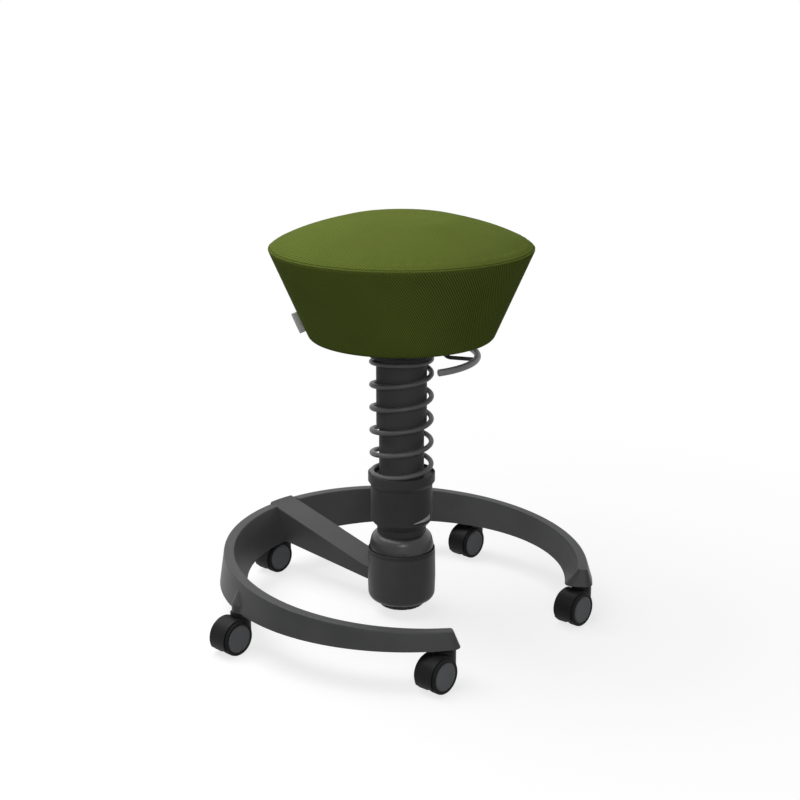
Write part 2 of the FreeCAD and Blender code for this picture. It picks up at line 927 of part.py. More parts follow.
def coil_direction(turns):
    """Unit tangent of the wire's middle line."""
    from_foot = (turns - coil_foot_turns) / coil_bend_turns
    from_head = (coil_turns - coil_head_turns - turns) / coil_bend_turns
    grade = coil_pitch * min(max(min(from_foot, from_head), 0), 1)
    along = polar(2 * math.pi * coil_radius, coil_start_angle + 360 * turns + 90, grade)
    return along.normalize()


def arc_of(start, corner, end):
    """Arc tangent to the two equal legs of a corner."""
    middle = (start + end) * 0.5
    reach = (corner - middle).Length
    half = (end - start).Length / 2
    sagitta = half * math.tan(math.atan2(reach, half) / 2)
    return Part.Arc(start, middle + (corner - middle) * (sagitta / reach), end).toShape()


def biarc(start, start_way, end, end_way):
    """Two tangent arcs from one point and direction to another."""
    chord = end - start
    ways = start_way + end_way
    bend = 2 * (1 - start_way.dot(end_way))
    along = chord.dot(ways)
    leg = (math.sqrt(along ** 2 + bend * chord.dot(chord)) - along) / bend
    first = start + start_way * leg
    second = end - end_way * leg
    joint = (first + second) * 0.5
    return [arc_of(start, first, joint), arc_of(joint, second, end)]


def coil_spring():
    """One unbroken wire, swept along tangent arcs of about a quarter turn."""
    marks = [coil_turns * number / coil_spans for number in range(coil_spans + 1)]
    edges = []
    for low, high in zip(marks, marks[1:]):
        edges += biarc(coil_point(low), coil_direction(low), coil_point(high), coil_direction(high))
    section = Part.Wire(Part.makeCircle(wire_radius, coil_point(0), coil_direction(0)))
    sweep = Part.BRepOffsetAPI.MakePipeShell(Part.Wire(edges))
    sweep.add(section)
    sweep.build()
    sweep.makeSolid()
    return sweep.shape()


def coil_least_gap():
    """Least gap between neighbouring turns of the wire, measured on points."""
    count = 40 * coil_spans
    points = [coil_point(coil_turns * number / count) for number in range(count + 1)]
    apart = int(count / coil_turns / 2)
    nearest = coil_pitch * coil_full_turns
    for first in range(0, count - apart, 4):
        for second in range(first + apart, count + 1, 4):
            nearest = min(nearest, (points[first] - points[second]).Length)
    return nearest - 2 * wire_radius


# Gas spring


gas_foot = core_foot + core_floor - core_pocket
gas_top = cone_foot - lift_stroke - stop_gap
piston_top = gas_top - gas_head - stop_gap


def gas_cylinder():
    body = rod(gas_radius, gas_foot, gas_top)
    body = body.cut(rod(gas_radius - gas_wall, gas_foot + gas_floor, gas_top - gas_head))
    return body.cut(rod(rod_radius + running_gap, gas_foot + gas_floor, gas_top))


def gas_rod():
    piston = rod(gas_radius - gas_wall - running_gap, piston_top - piston_height, piston_top)
    body = piston.fuse(rod(rod_radius, piston_top, cone_top))
    return body.cut(rod(pin_radius + running_gap, cone_top - pin_depth, cone_top))


def seat_cone():
    """Plug on the rod that carries the seat and lets it swivel."""
    body = rod(cone_radius, cone_foot, cone_top)
    body = body.fuse(rod(cone_flange_radius, cone_foot, cone_foot + cone_flange_height))
    return body.cut(rod(rod_radius + running_gap, cone_foot, cone_top))


def release_pin():
    return rod(pin_radius, cone_top - pin_depth + pin_reach, pin_top)


# Seat


def side_radius(height, inset=0):
    """Radius of the seat's conical side, or of a layer that much further in."""
    return seat_foot_radius + (height - seat_foot) * side_slope - inset * side_stretch


crown_ball = (seat_rim_radius ** 2 + seat_crown ** 2) / 2 / seat_crown
crown_centre = seat_rim + seat_crown - crown_ball


def crown_height(radius, inset=0):
    """Height of the domed top, or of a layer that much further in."""
    return crown_centre + math.sqrt((crown_ball - inset) ** 2 - radius ** 2)


def foot_curve(inset):
    """Rounded lower edge of the seat: end of the straight side, middle and underside."""
    lean = math.atan(side_slope)
    bend = seat_foot_round - inset
    centre_z = seat_foot + seat_foot_round
    centre_r = side_radius(centre_z, seat_foot_round)
    places = []
    for angle in (-lean, -(lean + math.pi / 2) / 2, -math.pi / 2):
        places.append((centre_r + bend * math.cos(angle), centre_z + bend * math.sin(angle)))
    return places


def side_layer(top, outer, inner, turn_in):
    """Conical layer of the seat's side, turned in below, between two insets."""
    start, through, foot = foot_curve(outer)
    inner_start, inner_through, inner_foot = foot_curve(inner)
    hem = foot[0] - turn_in
    return turned(
        (side_radius(top, outer), top),
        (side_radius(top, inner), top),
        inner_start,
        (inner_through, inner_foot),
        (hem, inner_foot[1]),
        (hem, foot[1]),
        foot,
        (through, start),
    )


shell_inset = cover_thickness + close_gap
pan_inset = shell_inset + shell_wall + close_gap


def seat_side_cover():
    """Sewn side of the cover, turned in round the lower edge."""
    return side_layer(seat_rim, 0, cover_thickness, cover_return)


def crown_cap(inset, foot):
    """Arc step over the domed top, from a height out at the rim to the middle."""
    ball = crown_ball - inset
    edge = math.sqrt(ball ** 2 - (foot - crown_centre) ** 2)
    half = math.asin(edge / ball) / 2
    through = (ball * math.sin(half), crown_centre + ball * math.cos(half))
    return (edge, foot), (through, (0, crown_centre + ball))


def seat_top_cover():
    """Domed top of the cover, down to the seam at the rim."""
    foot = seat_rim + close_gap
    edge, cap = crown_cap(0, foot)
    inner_edge, inner_cap = crown_cap(cover_thickness, foot)
    outer = turned((0, foot), edge, cap)
    return outer.cut(turned((0, foot), inner_edge, inner_cap))


def seat_foam():
    """Domed cushion with drawn-in sides, on the pan."""
    inset = cover_thickness + close_gap
    edge, cap = crown_cap(inset, crown_height(side_radius(seat_rim, pan_inset), inset))
    return turned((0, pan_top), (side_radius(pan_top, pan_inset), pan_top), edge, cap)


def seat_shell():
    """Conical plastic shell under the side of the cover, with a ledge for the pan."""
    top = seat_rim - shell_top_drop
    body = side_layer(top, shell_inset, shell_inset + shell_wall, shell_lip)
    ledge_foot = pan_under - ledge_thickness
    middle = shell_inset + shell_wall / 2
    ledge = turned(
        (side_radius(ledge_foot, middle) - ledge_width, ledge_foot),
        (side_radius(ledge_foot, middle), ledge_foot),
        (side_radius(pan_under, middle), pan_under),
        (side_radius(ledge_foot, middle) - ledge_width, pan_under),
    )
    return body.fuse(ledge)


def seat_pan():
    """Stiff board between the shell and the foam."""
    body = turned(
        (0, pan_under),
        (side_radius(pan_under, pan_inset), pan_under),
        (side_radius(pan_top, pan_inset), pan_top),
        (0, pan_top),
    )
    for place in screw_places():
        body = body.cut(rod(screw_radius + running_gap, pan_under, pan_top, place.x, place.y))
    return body


def screw_places():
    step = 360 / screw_count
    return [polar(screw_circle, lever_angle + step * (number + 0.5)) for number in range(screw_count)]


def pan_screws():
    """Screws that hold the swivel cup to the pan."""
    screws = []
    flange_foot = pan_under - swivel_cup_wall
    for place in screw_places():
        head = rod(screw_head_radius, flange_foot - screw_head_height, flange_foot, place.x, place.y)
        screws.append(head.fuse(rod(screw_radius, flange_foot, pan_top - close_gap, place.x, place.y)))
    return Part.makeCompound(screws)


def along_lever(shape):
    """Copy turned from the X direction to the direction of the lever."""
    return moved(shape, FreeCAD.Vector(0, 0, 0), lever_angle)


def cross_pin(radius, length):
    """Cylinder across the lever at its pivot."""
    base = FreeCAD.Vector(lever_pivot_reach, -length / 2, lever_axis)
    return Part.makeCylinder(radius, length, base, FreeCAD.Vector(0, 1, 0))


def swivel_cup():
    """Pressed steel cup under the pan, with the swivel socket and the ears of the lever."""
    floor = cup_under + swivel_cup_wall
    bore = cone_radius + 2 * running_gap + bush_wall
    inside = swivel_cup_radius - swivel_cup_wall
    body = turned(
        (bore, socket_foot),
        (socket_outer_radius, socket_foot),
        (socket_outer_radius, cup_under),
        (swivel_cup_radius, cup_under),
        (swivel_cup_radius, pan_under - swivel_cup_wall),
        (swivel_flange_radius, pan_under - swivel_cup_wall),
        (swivel_flange_radius, pan_under),
        (inside, pan_under),
        (inside, floor),
        (bore, floor),
    )
    slot_height = pan_under - swivel_cup_wall - floor
    slot = Part.makeBox(swivel_cup_radius, lever_slot, slot_height,
                        FreeCAD.Vector(lever_pivot_reach, -lever_slot / 2, floor))
    body = body.cut(along_lever(slot))
    ear_height = lever_axis + 2 * lever_pin_radius - floor
    for side in (-1, 1):
        y = side * (ear_gap + ear_thickness) / 2 - ear_thickness / 2
        ear = Part.makeBox(ear_width, ear_thickness, ear_height,
                           FreeCAD.Vector(lever_pivot_reach - ear_width / 2, y, floor))
        body = body.fuse(along_lever(ear))
    body = body.cut(along_lever(cross_pin(lever_pin_radius + running_gap, 2 * ear_gap)))
    for place in screw_places():
        hole = rod(screw_radius + running_gap, pan_under - swivel_cup_wall, pan_under, place.x, place.y)
        body = body.cut(hole)
    return body.removeSplitter()


def swivel_bush():
    inner = cone_radius + running_gap
    return tube(inner + bush_wall, inner, socket_foot, cup_under + swivel_cup_wall)


def seat_tag():
    """Small blank label sewn to the side, standing out from it."""
    foot = seat_foot + tag_rise
    base = FreeCAD.Vector(side_radius(foot) + close_gap, -tag_thickness / 2, foot)
    tag = Part.makeBox(tag_width, tag_thickness, tag_height, base)
    tag.rotate(base, FreeCAD.Vector(0, 1, 0), math.degrees(math.atan(side_slope)))
    return moved(tag, FreeCAD.Vector(0, 0, 0), tag_angle)


# Height lever


def swept_rod(radius, edges, start, way):
    """Round bar along a chain of lines and arcs."""
    section = Part.Wire(Part.makeCircle(radius, start, way))
    sweep = Part.BRepOffsetAPI.MakePipeShell(Part.Wire(edges))
    sweep.add(section)
    sweep.build()
    sweep.makeSolid()
    return sweep.shape()


def lever_grip():
    """Curved finger bar under the edge of the seat."""
    places = (grip_tip, grip_middle, grip_end)
    tip, middle, end = [polar(radius, angle, lever_level) for radius, angle in places]
    arc = Part.Arc(tip, middle, end)
    return swept_rod(grip_radius, [arc.toShape()], tip, arc.tangent(arc.FirstParameter)[0])


def lever_rod():
    """Bent bar from the release pin out through the cup and down to the finger bar."""
    bow = lever_bend * (1 - math.sqrt(0.5))
    inner = pin_radius
    drop = lever_drop_reach
    high = lever_axis
    low = lever_level
    edges = [
        Part.LineSegment(flat((-inner, high)), flat((drop - lever_bend, high))).toShape(),
        Part.Arc(flat((drop - lever_bend, high)), flat((drop - bow, high - bow)),
                 flat((drop, high - lever_bend))).toShape(),
        Part.LineSegment(flat((drop, high - lever_bend)), flat((drop, low + lever_bend))).toShape(),
        Part.Arc(flat((drop, low + lever_bend)), flat((drop + bow, low + bow)),
                 flat((drop + lever_bend, low))).toShape(),
        Part.LineSegment(flat((drop + lever_bend, low)), flat((grip_middle[0], low))).toShape(),
    ]
    body = swept_rod(lever_rod_radius, edges, flat((-inner, high)), FreeCAD.Vector(1, 0, 0))
    body = body.fuse(cross_pin(2 * lever_pin_radius, ear_gap - 2 * close_gap))
    body = body.cut(cross_pin(lever_pin_radius + running_gap, ear_gap))
    return along_lever(body).cut(lever_grip())


def lever_pin():
    return along_lever(cross_pin(lever_pin_radius, ear_gap + 2 * ear_thickness))


# Castors, built with the stem on the vertical axis and the wheels trailing toward -X


axle_x = -castor_trail
hood_inner = wheel_radius + hood_clearance


def across(radius, low, high):
    """Cylinder along the axle between two distances from the castor's middle plane."""
    base = FreeCAD.Vector(axle_x, low, wheel_radius)
    return Part.makeCylinder(radius, high - low, base, FreeCAD.Vector(0, 1, 0))


def about_axle(radius, angle):
    """Profile point about the axle."""
    turn = math.radians(angle)
    return (axle_x + radius * math.cos(turn), wheel_radius + radius * math.sin(turn))


def castor_hood():
    """Hood over both wheels with the web between them and the neck for the stem."""
    outer = hood_inner + hood_wall
    low = hood_front_angle
    high = 180 + hood_drop_angle
    middle = (low + high) / 2
    face = outline(
        about_axle(outer, low),
        (about_axle(outer, middle), about_axle(outer, high)),
        about_axle(hood_inner, high),
        (about_axle(hood_inner, middle), about_axle(hood_inner, low)),
    )
    body = face.extrude(FreeCAD.Vector(0, hood_width, 0))
    body.translate(FreeCAD.Vector(0, -hood_width / 2, 0))
    body = body.fuse(rod(castor_neck_radius, castor_height - castor_neck_depth, castor_height))
    for side in (-1, 1):
        near, far = sorted((side * web_thickness / 2, side * hood_width))
        body = body.cut(across(hood_inner, near, far))
    web = across(hood_inner + hood_wall / 2, -web_thickness / 2, web_thickness / 2)
    corner = FreeCAD.Vector(axle_x - castor_height / 2, -hood_width / 2, web_lift - castor_height)
    below = Part.makeBox(castor_height, hood_width, castor_height, corner)
    body = body.fuse(web.cut(below))
    body = body.cut(across(axle_radius + running_gap, -web_thickness, web_thickness))
    body = body.cut(rod(stem_radius + running_gap, castor_height - stem_root, castor_height))
    return body.removeSplitter()


def castor_stem():
    return rod(stem_radius, castor_height - stem_root, castor_height + stem_reach)


def castor_axle():
    return across(axle_radius, -axle_length / 2, axle_length / 2)


def castor_wheel(side):
    """Wheel with a rounded tread edge and a bevelled cap, on one side of the castor."""
    outer_face = wheel_inner_face + wheel_width
    rim = outer_face - cap_bevel / 4
    bend = wheel_edge_round
    knee = bend * math.sqrt(0.5)
    bore = axle_radius + running_gap
    wheel = turned(
        (bore, wheel_inner_face),
        (wheel_radius - bend / 2, wheel_inner_face),
        (wheel_radius, wheel_inner_face + bend / 2),
        (wheel_radius, rim - bend),
        ((wheel_radius - bend + knee, rim - bend + knee), (wheel_radius - bend, rim)),
        (cap_radius + cap_bevel, rim),
        (cap_radius + cap_bevel / 2, rim - cap_bevel / 2),
        (cap_radius, rim - cap_bevel / 2),
        (cap_radius - cap_bevel, outer_face),
        (0, outer_face),
        (0, axle_length / 2 + close_gap),
        (bore, axle_length / 2 + close_gap),
    )
    wheel.rotate(FreeCAD.Vector(0, 0, 0), FreeCAD.Vector(1, 0, 0), -90 * side)
    wheel.translate(FreeCAD.Vector(axle_x, 0, wheel_radius))
    return wheel


pieces = [
    foot_ring, support_arm, arm_bolts, joint_ring, joint_retainer, joint_rubber, pressure_plate,
    adjuster_knob, pivot_stud, dome_cover, lower_tube, scale_sleeve, tension_collar, coil_spring,
    upper_tube, guide_bush, guide_core, spring_plate, gas_cylinder, gas_rod, seat_cone, release_pin,
    swivel_bush, swivel_cup, seat_pan, pan_screws, seat_shell, seat_foam, seat_top_cover,
    seat_side_cover, seat_tag, lever_pin, lever_rod, lever_grip,
]
for piece in pieces:
    save(piece.__name__, piece())

castor_pieces = {
    "hood": castor_hood(),
    "stem": castor_stem(),
    "axle": castor_axle(),
    "wheel_left": castor_wheel(-1),
    "wheel_right": castor_wheel(1),
}
for number, angle in enumerate(castor_angles(), start=1):
    for name, shape in castor_pieces.items():
        save("castor_" + str(number) + "_" + name, moved(shape, stem_place(angle)))

print("least gap between turns of the spring:", round(coil_least_gap(), 2), "mm")
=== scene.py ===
# %% [markdown]
# # Dressing an active sitting stool
#
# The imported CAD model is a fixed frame: an open foot ring on five castors, one sloping arm, a tilt
# joint, a sprung column and a round seat. This lesson gives it its looks. We set up the camera and
# the light, make satin coats, moulded plastic and green twill, and build the pieces that plain
# solids can't show: the upholstered seat with its stitching, the cloth label, the wound spring, the
# castor wheels and the printed wedge. Lengths are in metres, +Z is up and the arm runs toward +Y.

# %% Load the frame
import math

import bmesh
import bpy
import numpy as np
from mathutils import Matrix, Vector


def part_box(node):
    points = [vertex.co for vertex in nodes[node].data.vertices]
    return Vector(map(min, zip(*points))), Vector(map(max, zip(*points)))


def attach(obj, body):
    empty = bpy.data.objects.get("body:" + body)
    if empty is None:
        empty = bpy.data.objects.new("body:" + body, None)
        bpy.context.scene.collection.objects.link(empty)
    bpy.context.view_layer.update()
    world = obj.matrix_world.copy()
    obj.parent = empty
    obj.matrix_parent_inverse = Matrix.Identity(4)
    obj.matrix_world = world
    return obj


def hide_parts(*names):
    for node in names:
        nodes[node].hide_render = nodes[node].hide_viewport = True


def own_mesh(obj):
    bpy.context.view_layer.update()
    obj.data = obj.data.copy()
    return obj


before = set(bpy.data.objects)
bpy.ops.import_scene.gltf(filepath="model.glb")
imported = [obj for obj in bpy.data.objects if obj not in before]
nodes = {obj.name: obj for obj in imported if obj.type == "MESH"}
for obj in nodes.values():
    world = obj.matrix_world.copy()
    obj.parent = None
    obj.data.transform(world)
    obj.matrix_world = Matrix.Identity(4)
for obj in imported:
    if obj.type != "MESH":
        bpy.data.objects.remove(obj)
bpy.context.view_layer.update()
print("CAD nodes in the frame:", len(nodes))

# %% [markdown]
# ## Surfaces from grids
#
# Most pieces of a stool are turned on a lathe or drawn along a path. Blender's Spin and curve tools
# can make such forms, but then a weave has no measured place on them. We compute each surface as a
# grid of points instead, rows along a profile and columns round it, and give it UVs in metres. A row
# that shrinks to one point is a pole: merging its points closes the skin there.


# %% From a grid of points to a closed mesh
def grid_faces(rows, columns, wrap):
    """Quads between neighbouring rows and columns; wrap joins the last column to the first."""
    row = np.arange(rows - 1)[:, None]
    column = np.arange(columns if wrap else columns - 1)[None, :]
    following = (column + 1) % columns
    corners = [row * columns + column, row * columns + following,
               (row + 1) * columns + following, (row + 1) * columns + column]
    return np.stack(np.broadcast_arrays(*corners), -1).reshape(-1, 4)


def close_skin(mesh):
    """Merge points that coincide, so that poles close, and turn every face outwards."""
    work = bmesh.new()
    work.from_mesh(mesh)
    bmesh.ops.remove_doubles(work, verts=work.verts, dist=1e-6)
    bmesh.ops.recalc_face_normals(work, faces=work.faces)
    work.to_mesh(mesh)
    work.free()
    mesh.shade_smooth()


def skin_object(name, mesh, finishes):
    """Object at the origin that shows a mesh in the given materials."""
    for finish in finishes:
        mesh.materials.append(finish)
    made = bpy.data.objects.new(name, mesh)
    bpy.context.scene.collection.objects.link(made)
    return made


def grid_object(name, points, finishes, uv=None, panel=None):
    """Closed object from a (rows, columns, 3) grid whose last column joins its first.

    uv is a (rows, columns + 1, 2) grid in metres; panel tells each row of faces which finish it has.
    """
    rows, columns = points.shape[:2]
    mesh = bpy.data.meshes.new(name)
    mesh.from_pydata(points.reshape(-1, 3).tolist(), [], grid_faces(rows, columns, True).tolist())
    if uv is not None:
        corners = grid_faces(rows, columns + 1, False).ravel()
        layer = mesh.uv_layers.new(name="metres")
        layer.data.foreach_set("uv", uv.reshape(-1, 2)[corners].astype(np.float32).ravel())
    if panel is not None:
        mesh.polygons.foreach_set("material_index", np.repeat(panel, columns).astype(np.int32))
    close_skin(mesh)
    return skin_object(name, mesh, finishes)


print("grid helpers are ready")


# %% Turned forms and round bars
def turned_grid(profile, columns):
    """Points of a (radius, height) profile turned about Z: x = r cos a, y = r sin a, z = height."""
    angle = np.linspace(0, 2 * np.pi, columns, endpoint=False)
    radius, height = profile[:, :1], profile[:, 1:]
    return np.stack([radius * np.cos(angle), radius * np.sin(angle),
                     np.broadcast_to(height, (len(profile), columns))], -1)


def unrolled(profile, columns, radius):
    """UVs of a turned form: the angle times one radius, and the length along the profile."""
    step = np.linalg.norm(np.diff(profile, axis=0), axis=1)
    along = np.concatenate([[0], np.cumsum(step)])
    around = np.linspace(0, 2 * np.pi, columns + 1) * radius
    return np.stack(np.broadcast_arrays(around[None, :], along[:, None]), -1)


def bar_grid(path, along, radius, sides):
    """Round bar: at each point of the path a circle square to the direction along it."""
    along = along / np.linalg.norm(along, axis=1)[:, None]
    side = np.cross(along, [0, 0, 1.0])
    side /= np.linalg.norm(side, axis=1)[:, None]
    other = np.cross(along, side)
    angle = np.linspace(0, 2 * np.pi, sides, endpoint=False)
    ring = np.cos(angle)[None, :, None] * side[:, None] + np.sin(angle)[None, :, None] * other[:, None]
    return path[:, None] + radius[:, None, None] * ring


print("helpers for turned forms and bars are ready")

# %% [markdown]
# ## Camera
#
# A product picture is taken from some way off with a long lens, so that lines stay nearly parallel.
# We could turn the camera by hand until it looks right. Here its place was fitted to the picture
# instead: 2.4 m from the column, at about a metre's height, tipped down by 16 degrees. The tiny
# shift centres the stool as the picture does.

# %% Place the camera
film_width, picture_width = 36, 800
lens_pixels, shift_pixels = 1620, -1.56
camera_data = bpy.data.cameras.new("camera")
camera_data.lens = film_width * lens_pixels / picture_width
camera_data.shift_x = shift_pixels / picture_width
camera_data.clip_end = 60
camera = bpy.data.objects.new("camera", camera_data)
bpy.context.scene.collection.objects.link(camera)
camera.location = (-1.7695, -1.6214, 1.025)
pitch = math.radians(15.773)
level = Vector((-camera.location.x, -camera.location.y, 0)).normalized()
ahead = level * math.cos(pitch) - Vector((0, 0, math.sin(pitch)))
camera.rotation_mode = "QUATERNION"
camera.rotation_quaternion = ahead.to_track_quat("-Z", "Y")
bpy.context.scene.camera = camera
print("camera at", [round(value, 3) for value in camera.location],
      "with a lens of", round(camera_data.lens, 1), "mm")

# %% [markdown]
# ## A white studio
#
# The stool stands on white paper in a bright, even studio. Strong lamps would wash it out, so the
# white is painted where a ray from the camera, or from a glossy surface, meets the room or the floor.
# The stool itself is lit by a dim room and three soft lamps: a broad one overhead, a smaller one near
# the camera and a weak one from the left. Dark faces that slant away then mirror some of the white
# room, which makes their edges readable.


# %% Helpers for node trees
def node_tree_of(block):
    """Empty node tree of a material or a world."""
    block.use_nodes = True
    block.node_tree.nodes.clear()
    return block.node_tree


def add(tree, kind, **values):
    """New node. A value sets an attribute of the node, or else the input with its name."""
    made = tree.nodes.new(kind)
    for key, value in values.items():
        if hasattr(made, key):
            setattr(made, key, value)
        else:
            made.inputs[key.replace("_", " ")].default_value = value
    return made


def calc(tree, operation, *values):
    """Result of a math node on sockets and numbers."""
    made = add(tree, "ShaderNodeMath", operation=operation)
    for socket, value in zip(made.inputs, values):
        if isinstance(value, (int, float)):
            socket.default_value = value
        else:
            tree.links.new(value, socket)
    return made.outputs[0]


def mixed(tree, share, first, second):
    """Shader that goes from the first to the second with a share."""
    made = add(tree, "ShaderNodeMixShader")
    for socket, source in zip(made.inputs, (share, first, second)):
        tree.links.new(source, socket)
    return made.outputs[0]


def seen_directly(tree):
    """One where a camera, glossy or transmission ray meets the surface, else zero."""
    path = add(tree, "ShaderNodeLightPath")
    either = calc(tree, "MAXIMUM", path.outputs["Is Camera Ray"], path.outputs["Is Glossy Ray"])
    return calc(tree, "MAXIMUM", either, path.outputs["Is Transmission Ray"])


print("node helpers are ready")

# %% White room and paper floor
room_light, floor_half = 0.05, 9
fade_from, fade_to = 0.5, 1.1
world = bpy.data.worlds.new("room")
bpy.context.scene.world = world
tree = node_tree_of(world)
dim = add(tree, "ShaderNodeBackground", Color=(1, 1, 1, 1), Strength=room_light)
white = add(tree, "ShaderNodeBackground", Color=(1, 1, 1, 1), Strength=1.0)
out = add(tree, "ShaderNodeOutputWorld")
tree.links.new(mixed(tree, seen_directly(tree), dim.outputs[0], white.outputs[0]), out.inputs[0])

floor_mesh = bpy.data.meshes.new("floor")
floor_corners = [(x * floor_half, y * floor_half, 0) for x, y in ((-1, -1), (1, -1), (1, 1), (-1, 1))]
floor_mesh.from_pydata(floor_corners, [], [(0, 1, 2, 3)])
paper = bpy.data.materials.new("floor_paper")
floor = skin_object("floor", floor_mesh, [paper])
tree = node_tree_of(paper)
matt = add(tree, "ShaderNodeBsdfDiffuse", Color=(0.2, 0.2, 0.2, 1))
pale = add(tree, "ShaderNodeBsdfDiffuse", Color=(0.36, 0.36, 0.36, 1))
lift = add(tree, "ShaderNodeEmission", Color=(1, 1, 1, 1), Strength=0.75)
clear = add(tree, "ShaderNodeEmission", Color=(1, 1, 1, 1), Strength=1.0)
lit = add(tree, "ShaderNodeAddShader")
tree.links.new(pale.outputs[0], lit.inputs[0])
tree.links.new(lift.outputs[0], lit.inputs[1])
place = add(tree, "ShaderNodeTexCoord")
far = add(tree, "ShaderNodeVectorMath", operation="LENGTH")
tree.links.new(place.outputs["Object"], far.inputs[0])
fade = add(tree, "ShaderNodeMapRange", From_Min=fade_from, From_Max=fade_to)
tree.links.new(far.outputs["Value"], fade.inputs["Value"])
shown = mixed(tree, fade.outputs["Result"], lit.outputs[0], clear.outputs[0])
out = add(tree, "ShaderNodeOutputMaterial")
tree.links.new(mixed(tree, seen_directly(tree), matt.outputs[0], shown), out.inputs[0])
print("white room and paper floor are set")


# %% Soft lamps
def soft_lamp(name, place, aim, size, power):
    """Round area lamp that looks at a point."""
    lamp = bpy.data.lights.new(name, "AREA")
    lamp.shape = "DISK"
    lamp.size = size
    lamp.energy = power
    made = bpy.data.objects.new(name, lamp)
    made.location = place
    made.rotation_mode = "QUATERNION"
    made.rotation_quaternion = (Vector(aim) - Vector(place)).to_track_quat("-Z", "Y")
    bpy.context.scene.collection.objects.link(made)
    return made


soft_lamp("lamp_above", (-0.45, 1.05, 2.9), (0, 0, 0.4), 3.0, 70)
soft_lamp("lamp_front", (-2.0, -2.22, 1.5), (0, 0, 0.3), 1.0, 18)
soft_lamp("lamp_left", (-1.5, -0.4, 2.5), (0, 0, 0.3), 0.8, 6)
bpy.context.scene.view_settings.view_transform = "Standard"
print("lamps:", [lamp.name for lamp in bpy.data.lights])

# %% [markdown]
# ## Grain of coats and mouldings
#
# Powder coat has a fine orange peel, and moulded plastic takes a grain from its mould. Neither is
# even: tone and gloss drift a little over a hand's width. Modelling that would take millions of
# faces, so it is a bump. One shader group makes it from two noises on Object coordinates, and each
# material places the group with its own scale, depth and gloss.


# %% The grain group
def new_group(name, inputs, outputs):
    """Empty shader group with float inputs (name, value) and outputs (name, socket type)."""
    group = bpy.data.node_groups.new(name, "ShaderNodeTree")
    for socket, value in inputs:
        made = group.interface.new_socket(socket, in_out="INPUT", socket_type="NodeSocketFloat")
        made.default_value = value
    for socket, kind in outputs:
        group.interface.new_socket(socket, in_out="OUTPUT", socket_type=kind)
    return group, group.nodes.new("NodeGroupInput"), group.nodes.new("NodeGroupOutput")


grain, given, result = new_group(
    "moulded_grain",
    [("Grain Scale", 900.0), ("Grain Depth", 0.00003),
     ("Roughness Low", 0.4), ("Roughness High", 0.55)],
    [("Normal", "NodeSocketVector"), ("Roughness", "NodeSocketFloat"), ("Tone", "NodeSocketFloat")],
)
place = add(grain, "ShaderNodeTexCoord").outputs["Object"]
fine = add(grain, "ShaderNodeTexNoise", Detail=3.0)
cloud = add(grain, "ShaderNodeTexNoise", Scale=14.0, Detail=4.0)
bump = add(grain, "ShaderNodeBump", Strength=1.0)
gloss = add(grain, "ShaderNodeMapRange")
grain.links.new(place, fine.inputs["Vector"])
grain.links.new(place, cloud.inputs["Vector"])
grain.links.new(given.outputs["Grain Scale"], fine.inputs["Scale"])
grain.links.new(given.outputs["Grain Depth"], bump.inputs["Distance"])
grain.links.new(fine.outputs["Fac"], bump.inputs["Height"])
grain.links.new(cloud.outputs["Fac"], gloss.inputs["Value"])
grain.links.new(given.outputs["Roughness Low"], gloss.inputs["To Min"])
grain.links.new(given.outputs["Roughness High"], gloss.inputs["To Max"])
grain.links.new(bump.outputs["Normal"], result.inputs["Normal"])
grain.links.new(gloss.outputs["Result"], result.inputs["Roughness"])
grain.links.new(cloud.outputs["Fac"], result.inputs["Tone"])
print("group:", grain.name)

# %% [markdown]
# ## Hard finishes
#
# The ring, the arm and the hub have a dark grey powder coat, the tubes and the spring a smoother one.
# Sleeve, collar and dome are moulded. All of them are dark greys with little gloss, and only the dome
# and the spring mirror the room clearly. So each has a colour of its own, and its gloss is tuned on the
# shader's own Specular socket. A separate shader for each finish would repeat the same nodes, so one
# function builds them all.


# %% Recipe for a hard finish
def hard_finish(name, colour, scale, depth, rough, specular=0.5, metallic=0.0):
    """Principled material whose tone, roughness and normal come from the grain group."""
    made = bpy.data.materials.new(name)
    tree = node_tree_of(made)
    skin = add(tree, "ShaderNodeBsdfPrincipled", Metallic=metallic, Specular_IOR_Level=specular)
    uneven = add(tree, "ShaderNodeGroup", node_tree=grain)
    sockets = ("Grain Scale", "Grain Depth", "Roughness Low", "Roughness High")
    for socket, value in zip(sockets, (scale, depth, *rough)):
        uneven.inputs[socket].default_value = value
    tone = add(tree, "ShaderNodeValToRGB")
    for stop, place, share in zip(tone.color_ramp.elements, (0.3, 0.7), (0.86, 1.14)):
        stop.position = place
        stop.color = (*(share * value for value in colour), 1)
    out = add(tree, "ShaderNodeOutputMaterial")
    tree.links.new(uneven.outputs["Tone"], tone.inputs[0])
    tree.links.new(tone.outputs[0], skin.inputs["Base Color"])
    tree.links.new(uneven.outputs["Roughness"], skin.inputs["Roughness"])
    tree.links.new(uneven.outputs["Normal"], skin.inputs["Normal"])
    tree.links.new(skin.outputs[0], out.inputs[0])
    return made


def grey(value, blue=0.0):
    """Grey with a share of blue in it."""
    return (value, value * (1 + blue / 2), value * (1 + blue))


